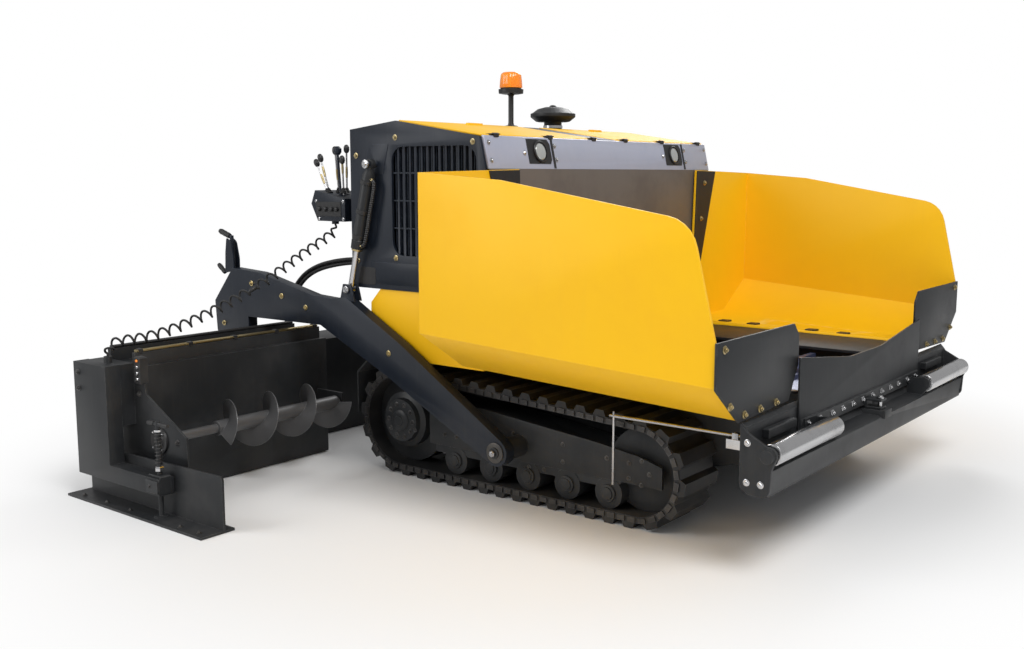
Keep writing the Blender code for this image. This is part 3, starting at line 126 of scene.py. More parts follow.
def layFloor(look):
    # pale floor that fades to white with distance, so only the shadow near the machine shows
    side = 60.0
    mesh = bpy.data.meshes.new("floor")
    mesh.from_pydata(
        [(-side, -side, 0), (side, -side, 0), (side, side, 0), (-side, side, 0)], [], [(0, 1, 2, 3)])
    floor = bpy.data.objects.new("floor", mesh)
    bpy.context.scene.collection.objects.link(floor)
    made = bpy.data.materials.new("floorPaint")
    made.use_nodes = True
    tree = made.node_tree
    shader = tree.nodes["Principled BSDF"]
    shader.inputs["Base Color"].default_value = (look["floorGrey"],) * 3 + (1.0,)
    shader.inputs["Roughness"].default_value = 0.95
    shader.inputs["Specular IOR Level"].default_value = 0.1
    glow = tree.nodes.new("ShaderNodeEmission")
    glow.inputs["Color"].default_value = (1.0, 1.0, 1.0, 1.0)
    place = tree.nodes.new("ShaderNodeTexCoord")
    squash = tree.nodes.new("ShaderNodeMapping")
    squash.inputs["Scale"].default_value = (1.0, 0.9, 0.0)
    tree.links.new(place.outputs["Object"], squash.inputs["Vector"])
    far = tree.nodes.new("ShaderNodeVectorMath")
    far.operation = "LENGTH"
    tree.links.new(squash.outputs[0], far.inputs[0])
    fade = tree.nodes.new("ShaderNodeMapRange")
    fade.interpolation_type = "SMOOTHSTEP"
    fade.inputs["From Min"].default_value = look["clearFrom"]
    fade.inputs["From Max"].default_value = look["clearTo"]
    tree.links.new(far.outputs["Value"], fade.inputs["Value"])
    rays = tree.nodes.new("ShaderNodeLightPath")
    onlySeen = tree.nodes.new("ShaderNodeMath")
    onlySeen.operation = "MULTIPLY"
    tree.links.new(fade.outputs["Result"], onlySeen.inputs[0])
    tree.links.new(rays.outputs["Is Camera Ray"], onlySeen.inputs[1])
    mix = tree.nodes.new("ShaderNodeMixShader")
    tree.links.new(onlySeen.outputs[0], mix.inputs[0])
    tree.links.new(shader.outputs[0], mix.inputs[1])
    tree.links.new(glow.outputs[0], mix.inputs[2])
    tree.links.new(mix.outputs[0], tree.nodes["Material Output"].inputs["Surface"])
    mesh.materials.append(made)
    floor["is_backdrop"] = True


aimCamera(cameraLook)
whiteRoom(lightLook)
layFloor(lightLook)
softLamp("keyLamp", (5.0, -3.0, 7.5), (0.0, 0.0, 0.8), 4.5, lightLook["keyPower"])
softLamp("fillLamp", (-4.0, -7.0, 4.5), (0.0, 0.0, 0.7), 5.0, lightLook["fillPower"])
softLamp("rimLamp", (-2.0, 6.5, 6.0), (0.0, 0.0, 1.0), 4.0, lightLook["rimPower"])
print("camera, light and floor set")


# shared shader effects: groups that give only masks, colours, values and normals

def newGroup(name, inputs, outputs):
    group = bpy.data.node_groups.new(name, "ShaderNodeTree")
    for label, kind, value in inputs:
        socket = group.interface.new_socket(label, in_out="INPUT", socket_type=kind)
        socket.default_value = value
    for label, kind in outputs:
        group.interface.new_socket(label, in_out="OUTPUT", socket_type=kind)
    return group, group.nodes.new("NodeGroupInput"), group.nodes.new("NodeGroupOutput")


def mathNode(tree, operation, first, second=None, clamp=False):
    made = tree.nodes.new("ShaderNodeMath")
    made.operation = operation
    made.use_clamp = clamp
    for index, value in enumerate((first, second)):
        if value is None:
            continue
        if isinstance(value, (int, float)):
            made.inputs[index].default_value = value
        else:
            tree.links.new(value, made.inputs[index])
    return made.outputs[0]


def noiseNode(tree, where, scale, detail=4.0, rough=0.6):
    made = tree.nodes.new("ShaderNodeTexNoise")
    made.inputs["Detail"].default_value = detail
    made.inputs["Roughness"].default_value = rough
    if isinstance(scale, (int, float)):
        made.inputs["Scale"].default_value = scale
    else:
        tree.links.new(scale, made.inputs["Scale"])
    tree.links.new(where, made.inputs["Vector"])
    return made.outputs["Fac"]


def rampNode(tree, value, low, high):
    made = tree.nodes.new("ShaderNodeMapRange")
    made.interpolation_type = "SMOOTHSTEP"
    made.inputs["From Min"].default_value = low
    made.inputs["From Max"].default_value = high
    tree.links.new(value, made.inputs["Value"])
    return made.outputs["Result"]


def makeWearAndHighlightGroup():
    # edges are where the rounded normal leaves the true one; noise breaks them up. The edge mark is partly
    # real wear and partly a painted highlight where light would catch the edges
    group, entry, leave = newGroup(
        "edgeWearAndHighlight",
        (("Radius", "NodeSocketFloat", 0.006), ("Amount", "NodeSocketFloat", 0.5)),
        (("Edge", "NodeSocketFloat"), ("Grime", "NodeSocketFloat"), ("Patch", "NodeSocketFloat")),
    )
    place = group.nodes.new("ShaderNodeTexCoord").outputs["Object"]
    rounded = group.nodes.new("ShaderNodeBevel")
    rounded.samples = 4
    group.links.new(entry.outputs["Radius"], rounded.inputs["Radius"])
    true = group.nodes.new("ShaderNodeNewGeometry")
    dot = group.nodes.new("ShaderNodeVectorMath")
    dot.operation = "DOT_PRODUCT"
    group.links.new(rounded.outputs["Normal"], dot.inputs[0])
    group.links.new(true.outputs["Normal"], dot.inputs[1])
    turned = mathNode(group, "SUBTRACT", 1.0, dot.outputs["Value"])
    edge = rampNode(group, turned, 0.01, 0.16)
    broken = rampNode(group, noiseNode(group, place, 22.0, 6.0, 0.7), 0.40, 0.62)
    wornAndLitEdge = mathNode(
        group, "MULTIPLY", mathNode(group, "MULTIPLY", edge, broken), entry.outputs["Amount"],
        clamp=True)
    group.links.new(wornAndLitEdge, leave.inputs["Edge"])
    # grime lies in large soft patches, more of it low down
    split = group.nodes.new("ShaderNodeSeparateXYZ")
    group.links.new(place, split.inputs[0])
    low = rampNode(group, mathNode(group, "SUBTRACT", 1.2, split.outputs["Z"]), 0.0, 1.2)
    patch = rampNode(group, noiseNode(group, place, 2.3, 5.0, 0.65), 0.42, 0.70)
    group.links.new(mathNode(group, "MULTIPLY", low, patch), leave.inputs["Grime"])
    group.links.new(patch, leave.inputs["Patch"])
    return group


def makeSurfaceGroup():
    # fine bumps of sprayed paint or cast metal, and streaks drawn down the piece
    group, entry, leave = newGroup(
        "fineSurface",
        (("Scale", "NodeSocketFloat", 260.0), ("Height", "NodeSocketFloat", 0.1)),
        (("Normal", "NodeSocketVector"), ("Streak", "NodeSocketFloat"), ("Speck", "NodeSocketFloat")),
    )
    place = group.nodes.new("ShaderNodeTexCoord").outputs["Object"]
    fine = noiseNode(group, place, entry.outputs["Scale"], 3.0, 0.5)
    bump = group.nodes.new("ShaderNodeBump")
    bump.inputs["Distance"].default_value = 0.001
    group.links.new(entry.outputs["Height"], bump.inputs["Strength"])
    group.links.new(fine, bump.inputs["Height"])
    group.links.new(bump.outputs["Normal"], leave.inputs["Normal"])
    drawn = group.nodes.new("ShaderNodeMapping")
    drawn.inputs["Scale"].default_value = (1.0, 1.0, 0.06)
    group.links.new(place, drawn.inputs["Vector"])
    group.links.new(
        rampNode(group, noiseNode(group, drawn.outputs[0], 34.0, 4.0, 0.7), 0.5, 0.75),
        leave.inputs["Streak"])
    group.links.new(
        rampNode(group, noiseNode(group, place, 90.0, 2.0, 0.5), 0.60, 0.70), leave.inputs["Speck"])
    return group


wearAndHighlightGroup = makeWearAndHighlightGroup()
surfaceGroup = makeSurfaceGroup()


def groupNode(tree, group):
    made = tree.nodes.new("ShaderNodeGroup")
    made.node_tree = group
    return made


def mixColour(tree, share, first, second):
    made = tree.nodes.new("ShaderNodeMix")
    made.data_type = "RGBA"
    if isinstance(share, (int, float)):
        made.inputs[0].default_value = share
    else:
        tree.links.new(share, made.inputs[0])
    for socket, value in ((made.inputs[6], first), (made.inputs[7], second)):
        if isinstance(value, tuple):
            socket.default_value = (*value, 1.0)
        else:
            tree.links.new(value, socket)
    return made.outputs[2]


baseLook = {
    "specular": 0.5, "colour": (0.5, 0.5, 0.5), "patchColour": (0.5, 0.5, 0.5), "roughness": 0.4,
    "roughSpread": 0.10, "metallic": 0.0, "coat": 0.0, "wearAndHighlight": 0.4, "wearAndHighlightRadius": 0.005,
    "edgeWearAndHighlightColour": (0.22, 0.22, 0.22), "dust": 0.2, "dustColour": (0.17, 0.155, 0.135), "streak": 0.04,
    "grain": 260.0, "grainHeight": 0.10, "speck": 0.0}


def paintMaterial(name, look):
    full = {**baseLook, **look}
    made = bpy.data.materials.new(name)
    made.use_nodes = True
    tree = made.node_tree
    shader = tree.nodes["Principled BSDF"]
    wearAndHighlight = groupNode(tree, wearAndHighlightGroup)
    wearAndHighlight.inputs["Radius"].default_value = full["wearAndHighlightRadius"]
    wearAndHighlight.inputs["Amount"].default_value = full["wearAndHighlight"]
    fine = groupNode(tree, surfaceGroup)
    fine.inputs["Scale"].default_value = full["grain"]
    fine.inputs["Height"].default_value = full["grainHeight"]
    colour = mixColour(tree, wearAndHighlight.outputs["Patch"], full["colour"], full["patchColour"])
    dusty = mathNode(tree, "MULTIPLY", wearAndHighlight.outputs["Grime"], full["dust"])
    colour = mixColour(tree, dusty, colour, full["dustColour"])
    streaky = mathNode(tree, "MULTIPLY", fine.outputs["Streak"], full["streak"])
    colour = mixColour(tree, streaky, colour, full["dustColour"])
    speckled = mathNode(tree, "MULTIPLY", fine.outputs["Speck"], full["speck"])
    colour = mixColour(tree, speckled, colour, full["dustColour"])
    # edges take the edge colour: partly worn paint, partly a painted highlight along the edges
    colour = mixColour(tree, wearAndHighlight.outputs["Edge"], colour, full["edgeWearAndHighlightColour"])
    tree.links.new(colour, shader.inputs["Base Color"])
    rough = mathNode(tree, "MULTIPLY", wearAndHighlight.outputs["Patch"], full["roughSpread"])
    rough = mathNode(tree, "ADD", rough, full["roughness"])
    tree.links.new(
        mathNode(tree, "ADD", rough, mathNode(tree, "MULTIPLY", dusty, 0.4)),
        shader.inputs["Roughness"])
    shader.inputs["Metallic"].default_value = full["metallic"]
    shader.inputs["Specular IOR Level"].default_value = full["specular"]
    shader.inputs["Coat Weight"].default_value = full["coat"]
    tree.links.new(fine.outputs["Normal"], shader.inputs["Normal"])
    return made


paintLooks = {
    "yellowPaint": {
        "colour": (0.96, 0.535, 0.006), "patchColour": (0.945, 0.515, 0.006), "roughness": 0.42,
        # its pale edge colour is a painted highlight along the edges
        "specular": 0.30, "wearAndHighlight": 0.30, "edgeWearAndHighlightColour": (1.0, 0.80, 0.35), "dust": 0.04, "streak": 0.012},
    "graphitePaint": {
        "colour": (0.019, 0.0205, 0.0225), "patchColour": (0.024, 0.0255, 0.028), "roughness": 0.42,
        "dust": 0.10, "specular": 0.32},
    "blueBlackPaint": {
        "colour": (0.0085, 0.0125, 0.021), "patchColour": (0.012, 0.0165, 0.026), "roughness": 0.38,
        "specular": 0.34, "edgeWearAndHighlightColour": (0.10, 0.12, 0.16), "dust": 0.07},
    "brightSteel": {
        "colour": (0.60, 0.60, 0.61), "patchColour": (0.48, 0.48, 0.49), "roughness": 0.20,
        "metallic": 1.0, "wearAndHighlight": 0.2, "dust": 0.10, "edgeWearAndHighlightColour": (0.8, 0.8, 0.8)},
    "zincGold": {
        "colour": (0.50, 0.40, 0.20), "patchColour": (0.42, 0.35, 0.20), "roughness": 0.30,
        "metallic": 1.0, "wearAndHighlight": 0.3, "dust": 0.1},
    "wornSteel": {
        "colour": (0.060, 0.058, 0.058), "patchColour": (0.10, 0.095, 0.09), "roughness": 0.40,
        "metallic": 0.8, "wearAndHighlight": 0.8, "dust": 0.3, "streak": 0.2, "speck": 0.15},
    "augerSteel": {
        "colour": (0.115, 0.115, 0.118), "patchColour": (0.085, 0.085, 0.088), "roughness": 0.40,
        "metallic": 0.35, "wearAndHighlight": 0.8, "dust": 0.15, "streak": 0.15, "edgeWearAndHighlightColour": (0.30, 0.30, 0.30)},
    "hopperSteel": {
        "colour": (0.150, 0.125, 0.105), "patchColour": (0.120, 0.100, 0.085), "roughness": 0.45,
        "metallic": 0.15, "wearAndHighlight": 0.4, "dust": 0.12, "streak": 0.10},
    "blackRubber": {
        "colour": (0.011, 0.011, 0.012), "patchColour": (0.018, 0.018, 0.018), "roughness": 0.55,
        "wearAndHighlight": 0.25, "dust": 0.25},
    "silverPaint": {
        "colour": (0.42, 0.44, 0.54), "patchColour": (0.38, 0.41, 0.52), "roughness": 0.30,
        "metallic": 0.10, "coat": 0.3, "wearAndHighlight": 0.3, "dust": 0.05, "edgeWearAndHighlightColour": (0.6, 0.62, 0.66)},
    "floorBlue": {
        "colour": (0.055, 0.066, 0.130), "patchColour": (0.070, 0.080, 0.150), "roughness": 0.32,
        "metallic": 0.4, "wearAndHighlight": 0.6, "dust": 0.15},
    "blackPlastic": {
        "colour": (0.014, 0.014, 0.015), "patchColour": (0.018, 0.018, 0.019), "roughness": 0.40,
        "wearAndHighlight": 0.1, "grain": 500.0},
    "lampGlass": {
        "colour": (0.62, 0.64, 0.62), "patchColour": (0.55, 0.57, 0.56), "roughness": 0.10,
        "metallic": 0.6, "coat": 1.0, "wearAndHighlight": 0.0, "dust": 0.0}}
paints = {name: paintMaterial(name, look) for name, look in paintLooks.items()}


def amberLens():
    made = bpy.data.materials.new("amberLens")
    made.use_nodes = True
    tree = made.node_tree
    shader = tree.nodes["Principled BSDF"]
    fine = groupNode(tree, surfaceGroup)
    fine.inputs["Scale"].default_value = 120.0
    colour = mixColour(tree, fine.outputs["Streak"], (0.95, 0.26, 0.006), (1.0, 0.42, 0.02))
    tree.links.new(colour, shader.inputs["Base Color"])
    tree.links.new(fine.outputs["Normal"], shader.inputs["Normal"])
    shader.inputs["Roughness"].default_value = 0.12
    shader.inputs["Coat Weight"].default_value = 0.8
    shader.inputs["Subsurface Weight"].default_value = 0.25
    shader.inputs["Subsurface Radius"].default_value = (0.03, 0.012, 0.004)
    shader.inputs["Emission Color"].default_value = (1.0, 0.28, 0.01, 1.0)
    shader.inputs["Emission Strength"].default_value = 0.12
    return made


paints["amberLens"] = amberLens()
print("materials made")


# geometry helpers: every new surface is a grid of points, rings carried along a line


def putMesh(name, points, faces, paint, body, angle=38.0, mend=True):
    mesh = bpy.data.meshes.new(name)
    mesh.from_pydata(np.asarray(points, float).tolist(), [], [list(map(int, face)) for face in faces])
    if mend:
        shell = bmesh.new()
        shell.from_mesh(mesh)
        bmesh.ops.remove_doubles(shell, verts=shell.verts, dist=1e-6)
        bmesh.ops.recalc_face_normals(shell, faces=shell.faces)
        shell.to_mesh(mesh)
        shell.free()
    mesh.polygons.foreach_set("use_smooth", np.ones(len(mesh.polygons), bool))
    mesh.set_sharp_from_angle(angle=math.radians(angle))
    mesh.materials.append(paints[paint])
    made = bpy.data.objects.new(name, mesh)
    bpy.context.scene.collection.objects.link(made)
    if body:
        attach(made, body)
    return made


def gridFaces(rows, columns, closedRows=False, closedColumns=True):
    # quads between neighbouring rings of points; indices by broadcasting
    row = np.arange(rows if closedRows else rows - 1)[:, None]
    column = np.arange(columns if closedColumns else columns - 1)[None, :]
    nextRow, nextColumn = (row + 1) % rows, (column + 1) % columns
    quads = np.stack(np.broadcast_arrays(row * columns + column, row * columns + nextColumn,
                                         nextRow * columns + nextColumn, nextRow * columns + column), -1)
    return quads.reshape(-1, 4)


def joinParts(parts):
    # several (points, faces) pairs become one
    points, faces, shift = [], [], 0
    for somePoints, someFaces in parts:
        points.append(somePoints)
        faces += [[index + shift for index in face] for face in someFaces]
        shift += len(somePoints)
    return np.concatenate(points), faces


def ringsPart(rings, capped=True):
    rows, columns = rings.shape[:2]
    faces = gridFaces(rows, columns).tolist()
    if capped:
        faces += [list(range(columns))[::-1], list(range((rows - 1) * columns, rows * columns))]
    return rings.reshape(-1, 3), faces


def frameOf(axis):
    axis = np.asarray(axis, float)
    axis = axis / np.linalg.norm(axis)
    helper = np.array([0.0, 0.0, 1.0]) if abs(axis[2]) < 0.9 else np.array([1.0, 0.0, 0.0])
    side = np.cross(helper, axis)
    side /= np.linalg.norm(side)
    return side, np.cross(axis, side), axis


def turnedPart(profile, origin, axis, around=28, phase=0.0):
    # point = origin + along * axis + radius * (side cos a + up sin a)
    side, up, axis = frameOf(axis)
    profile = np.asarray(profile, float)
    angle = np.linspace(0, 2 * np.pi, around, endpoint=False) + phase
    arm = side[None] * np.cos(angle)[:, None] + up[None] * np.sin(angle)[:, None]
    rings = np.asarray(origin, float) + profile[:, :1, None] * axis + profile[:, 1:2, None] * arm[None]
    return ringsPart(rings)


def carriedFrames(line):
    # tangent, side and up along a line, turned as little as possible from point to point
    tangent = np.gradient(line, axis=0)
    tangent /= np.linalg.norm(tangent, axis=1)[:, None]
    side = np.empty_like(line)
    side[0] = frameOf(tangent[0])[0]
    for index in range(1, len(line)):
        step = side[index - 1] - tangent[index] * (side[index - 1] @ tangent[index])
        side[index] = step / np.linalg.norm(step)
    return tangent, side, np.cross(tangent, side)


def tubePart(path, radius, around=12):
    # a circle carried along a line: point = line + radius * (side cos a + up sin a)
    path = np.asarray(path, float)
    side, up = carriedFrames(path)[1:]
    angle = np.linspace(0, 2 * np.pi, around, endpoint=False)
    radius = np.broadcast_to(np.asarray(radius, float), (len(path),))
    arm = side[:, None] * np.cos(angle)[None, :, None] + up[:, None] * np.sin(angle)[None, :, None]
    return ringsPart(path[:, None] + arm * radius[:, None, None])


def smoothLine(knots, count):
    # Catmull-Rom curve, resampled to even spacing
    knots = np.asarray(knots, float)
    padded = np.concatenate([[2 * knots[0] - knots[1]], knots, [2 * knots[-1] - knots[-2]]])
    t = np.linspace(0, 1, 24, endpoint=False)[:, None]
    a, b, c, d = padded[:-3, None], padded[1:-2, None], padded[2:-1, None], padded[3:, None]
    line = 0.5 * (2 * b + (c - a) * t + (2 * a - 5 * b + 4 * c - d) * t ** 2
                  + (3 * b - a - 3 * c + d) * t ** 3)
    line = np.concatenate([line.reshape(-1, 3), knots[-1:]])
    length = np.concatenate([[0], np.cumsum(np.linalg.norm(np.diff(line, axis=0), axis=1))])
    even = np.linspace(0, length[-1], count)
    return np.stack([np.interp(even, length, line[:, axis]) for axis in range(3)], 1)


def roundedOutline(corners, radius, steps=4):
    # each corner becomes an arc through a quadratic curve between points set back by the radius
    corners = np.asarray(corners, float)
    radius = np.broadcast_to(np.asarray(radius, float), (len(corners),))
    before, after = np.roll(corners, 1, 0) - corners, np.roll(corners, -1, 0) - corners
    room = 0.49 * np.minimum(np.linalg.norm(before, axis=1), np.linalg.norm(after, axis=1))
    back = np.minimum(radius, room)[:, None]
    start = corners + before / np.linalg.norm(before, axis=1)[:, None] * back
    end = corners + after / np.linalg.norm(after, axis=1)[:, None] * back
    t = np.linspace(0, 1, steps + 1)[None, :, None]
    curve = (1 - t) ** 2 * start[:, None] + 2 * t * (1 - t) * corners[:, None] + t ** 2 * end[:, None]
    return curve.reshape(-1, 2)


def insetOutline(outline, amount):
    # points move along their mitre, inward for a positive amount
    ahead = np.roll(outline, -1, 0) - outline
    behind = outline - np.roll(outline, 1, 0)
    ahead /= np.linalg.norm(ahead, axis=1)[:, None] + 1e-12
    behind /= np.linalg.norm(behind, axis=1)[:, None] + 1e-12
    area = 0.5 * np.sum(outline[:, 0] * np.roll(
        outline[:, 1], -1) - np.roll(outline[:, 0], -1) * outline[:, 1])
    turn = np.sign(area)
    normal = np.stack([-(ahead + behind)[:, 1], (ahead + behind)[:, 0]], 1) * turn
    normal /= np.linalg.norm(normal, axis=1)[:, None] + 1e-12
    cosine = np.clip(np.sum(normal * np.stack([-ahead[:, 1], ahead[:, 0]], 1) * turn, axis=1), 0.35, 1.0)
    return outline + normal * (amount / cosine)[:, None]


def platePart(corners, axis, low, high, radius=0.0, bevel=0.002, steps=4):
    # an outline carried from one face to the other, drawn in by the bevel at both ends
    outline = roundedOutline(corners, radius, steps) if np.max(radius) > 0 else np.asarray(corners, float)
    inner = insetOutline(outline, bevel)
    levels = ((low, inner), (low + bevel, outline), (high - bevel, outline), (high, inner))
    axisIndex = "xyz".index(axis)
    others = [index for index in range(3) if index != axisIndex]
    rings = np.empty((4, len(outline), 3))
    for row, (level, shape) in enumerate(levels):
        rings[row, :, others[0]] = shape[:, 0]
        rings[row, :, others[1]] = shape[:, 1]
        rings[row, :, axisIndex] = level
    return ringsPart(rings)


def boxPart(x, y, z, bevel=0.002):
    x, y, z = sorted(x), sorted(y), sorted(z)
    return platePart([(x[0], y[0]), (x[1], y[0]), (x[1], y[1]), (x[0], y[1])], "z", z[0], z[1], 0.0, bevel)


def hexBolts(places, axis, size=0.011, washer=True):
    # a washer and a hexagonal head for each place, standing on the surface along the axis
    parts = []
    for place in places:
        if washer:
            parts.append(turnedPart(
                [(0, size * 1.45), (size * 0.2, size * 1.45), (size * 0.28, size * 1.3)], place, axis,
                16))
        start = np.asarray(place, float) + frameOf(axis)[2] * size * 0.2
        parts.append(turnedPart(
            [(0, size), (size * 0.55, size), (size * 0.72, size * 0.82)], start, axis, 6,
            place[0] * 37.0))
        parts.append(turnedPart(
            [(0, size * 0.5), (size * 1.0, size * 0.5), (size * 1.1, size * 0.38)], start, axis, 12))
    return joinParts(parts)


print("helpers ready")


# cords first: the coiled control cord and the screed's hose bundles, on the routes of their CAD solids

cordLook = {
    "coilRadius": 0.0240, "couplingRadius": 0.0115, "wire": 0.0115, "pitch": 0.0600,
    "pointsPerTurn": 22, "lead": 0.050, "joinShare": 0.42, "couplingLength": 0.050}
curlyKnots = [
    (-.950, -.900, 1.325), (-.950, -.900, 1.313), (-.950, -.900, 1.301), (-.954, -.918, 1.274),
    (-.965, -.985, 1.234), (-.987, -1.134, 1.154), (-1.015, -1.320, 1.048), (-1.046, -1.504, .958),
    (-1.069, -1.650, .898), (-1.092, -1.790, .848), (-1.115, -1.930, .810), (-1.135, -2.050, .792),
    (-1.150, -2.140, .788), (-1.158, -2.200, .774), (-1.160, -2.220, .748), (-1.160, -2.220, .735),
    (-1.160, -2.220, .722)]
hoseKnots = [
    (-.6003, 1.130), (-.650, 1.130), (-.700, 1.130), (-.850, 1.122), (-1.003, 1.100), (-1.150, 1.062),
    (-1.270, 1.000), (-1.365, .900), (-1.415, .780), (-1.430, .680), (-1.430, .640), (-1.430, .6003)]
hoseLook = {"radius": 0.0105, "spread": 0.0200, "count": 3, "twist": 0.9, "y": 0.860, "packing": 0.72}


def lineLength(line):
    return float(np.linalg.norm(np.diff(line, axis=0), axis=1).sum())


def makeCurlyCord(look):
    # a helix wound round the route: line + coil radius * (side cos a + up sin a);
    # its radius eases to nothing at both ends and where a coupling joins its two lengths
    total = lineLength(smoothLine(curlyKnots, 600))
    turns = int(total / look["pitch"])
    count = turns * look["pointsPerTurn"]
    line = smoothLine(curlyKnots, count)
    tangent, side, up = carriedFrames(line)
    along = np.linspace(0, 1, count)
    join = int(count * look["joinShare"])
    nearest = np.minimum(np.minimum(along, 1 - along), np.abs(along - along[join]))
    ends = np.clip(nearest * total / look["lead"], 0, 1)
    angle = along * turns * 2 * np.pi
    arm = side * np.cos(angle)[:, None] + up * np.sin(angle)[:, None]
    centre = line + arm * (look["coilRadius"] * ends * ends * (3 - 2 * ends))[:, None]
    middle = centre[join]
    half = look["couplingLength"] / 2
    wide = look["couplingRadius"]
    shell = [(-half, 0.007), (-half + 0.006, wide), (half - 0.006, wide), (half, 0.007)]
    points, faces = turnedPart(shell, middle, tangent[join], 20)
    coupling = putMesh("cord_coupling", points, faces, "blackPlastic", "screed")
    routes = (
        ("upper", centre[:join + 1], "base", "screed",
         (-0.955, -0.920, 1.270), tuple(middle), "connector", [coupling]),
        ("lower", centre[join:], "screed", "extension_r",
         tuple(middle), (-1.100, -1.850, 0.830), "object", []))
    for label, path, first, second, start, end, farEnd, pieces in routes:
        points, faces = tubePart(path, look["wire"] / 2, 8)
        piece = putMesh("control_cord_" + label, points, faces, "blackRubber", None, 60.0, mend=False)
        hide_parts("curly_cord")
        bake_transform(piece)


def makeHoses(look):
    # three hoses side by side, each offset from the shared route by a slowly turning arm
    for sideName, side in sides:
        knots = [(x, side * look["y"], z) for x, z in hoseKnots]
        line = smoothLine(knots, 36)
        across, up = carriedFrames(line)[1:]
        along = np.linspace(0, 1, len(line))
        for index in range(look["count"]):
            angle = 2 * np.pi * index / look["count"] + look["twist"] * np.sin(np.pi * along)
            arm = across * np.cos(angle)[:, None] + up * np.sin(angle)[:, None]
            centre = line + arm * look["spread"] * look["packing"]
            points, faces = tubePart(centre, look["radius"], 12)
            piece = putMesh(
                "screed_hose_%s%d" % (sideName, index), points, faces, "blackRubber", None, 60.0,
                mend=False)
            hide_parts("hose_bundle_" + sideName)
            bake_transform(piece)


makeCurlyCord(cordLook)
makeHoses(hoseLook)
print("cords made")


# the CAD nodes keep their meshes; edges are rounded and shading smoothed by live modifiers

edgeLook = {"width": 0.0022, "segments": 2, "limit": 32.0}
plainEdges = ("track_l", "track_r", "lift_rod_l", "lift_rod_r")
gone = ("curly_cord", "hose_bundle_l", "hose_bundle_r")
slotPaint = {
    "yellow_paint": "yellowPaint", "graphite_paint": "graphitePaint",
    "blue_grey_paint": "blueBlackPaint", "bright_steel": "brightSteel", "worn_steel": "wornSteel",
    "rubber": "blackRubber", "silver_paint": "silverPaint", "amber_lens": "amberLens"}
nodePaint = {
    "conveyor": "floorBlue", "hopper_back_wall": "hopperSteel", "screed_main": "graphitePaint",
    "screed_extension_l": "graphitePaint", "screed_extension_r": "graphitePaint",
    "end_gate_l": "graphitePaint", "end_gate_r": "graphitePaint", "push_beam": "graphitePaint",
    "track_frame_l": "graphitePaint", "track_frame_r": "graphitePaint", "steering_guide": "brightSteel"}


def makeSmoothGroup(limit):
    # all faces smooth, but edges that turn more than the limit stay sharp
    group = bpy.data.node_groups.new("smoothByAngle", "GeometryNodeTree")
    group.interface.new_socket("Geometry", in_out="INPUT", socket_type="NodeSocketGeometry")
    group.interface.new_socket("Geometry", in_out="OUTPUT", socket_type="NodeSocketGeometry")
    entry, leave = group.nodes.new("NodeGroupInput"), group.nodes.new("NodeGroupOutput")
    allSmooth = group.nodes.new("GeometryNodeSetShadeSmooth")
    allSmooth.domain = "FACE"
    turned = group.nodes.new("GeometryNodeInputMeshEdgeAngle")
    steep = group.nodes.new("FunctionNodeCompare")
    steep.data_type = "FLOAT"
    steep.operation = "GREATER_THAN"
    steep.inputs[1].default_value = math.radians(limit)
    sharpen = group.nodes.new("GeometryNodeSetShadeSmooth")
    sharpen.domain = "EDGE"
    sharpen.inputs["Shade Smooth"].default_value = False
    group.links.new(turned.outputs["Unsigned Angle"], steep.inputs[0])
    group.links.new(steep.outputs[0], sharpen.inputs["Selection"])
    group.links.new(entry.outputs[0], allSmooth.inputs["Geometry"])
    group.links.new(allSmooth.outputs[0], sharpen.inputs["Geometry"])
    group.links.new(sharpen.outputs[0], leave.inputs[0])
    return group


smoothGroup = makeSmoothGroup(edgeLook["limit"])


def dressNode(node, paint, rounded):
    node.data.materials.clear()
    node.data.materials.append(paint)
    weld = node.modifiers.new("weld", "WELD")
    weld.merge_threshold = 0.00001
    if rounded:
        flat = node.modifiers.new("flat faces", "DECIMATE")
        flat.decimate_type = "DISSOLVE"
        flat.angle_limit = math.radians(0.5)
        edges = node.modifiers.new("rounded edges", "BEVEL")
        edges.width = edgeLook["width"]
        edges.segments = edgeLook["segments"]
        edges.limit_method = "ANGLE"
        edges.angle_limit = math.radians(edgeLook["limit"])
        edges.use_clamp_overlap = True
    smooth = node.modifiers.new("smooth", "NODES")
    smooth.node_group = smoothGroup


for entry in frame["record"]["subparts"]:
    name = entry["node"]
    if name in nodes and name not in gone:
        paint = nodePaint.get(name, slotPaint[entry["material_slot"]])
        dressNode(nodes[name], paints[paint], name not in plainEdges)
print("CAD nodes dressed")


# seating: small parts slide along an axis until they meet the CAD surface

surfaces = {}


def surfaceOf(name):
    if name not in surfaces:
        mesh = nodes[name].data
        surfaces[name] = BVHTree.FromPolygons(
            [tuple(v.co) for v in mesh.vertices], [tuple(p.vertices) for p in mesh.polygons])
    return surfaces[name]


def seated(name, places, axis, reach=0.25):
    line = Vector(axis).normalized()
    hits = [surfaceOf(name).ray_cast(Vector(place) + line * reach, -line, 2 * reach)[0] for place in places]
    return [tuple(hit) for hit in hits if hit is not None]


def boltsPiece(name, node, places, axis, size, paint, body):
    points, faces = hexBolts(seated(node, places, axis), axis, size)
    return putMesh(name, points, faces, paint, body, 30.0)


def partsPiece(name, parts, paint, body, angle=38.0):
    points, faces = joinParts(parts)
    return putMesh(name, points, faces, paint, body, angle)


def sidePlaces(places, side, height):
    # (x, z) pairs become points at a given height off the middle plane
    return [(x, side * height, z) for x, z in places]


def hoopPart(profile, origin, axis, around=28):
    # like a turned part, but its profile is a closed loop, so the middle stays open
    points = turnedPart(profile, origin, axis, around)[0]
    return points, gridFaces(len(profile), around, closedRows=True).tolist()


# augers: a tube with a ribbon screwed round it

augerLook = {
    "height": 0.330, "blade": 0.007, "tip": 0.004, "pitch": 0.260, "tube": 0.038, "shaft": 0.024,
    "steps": 40}


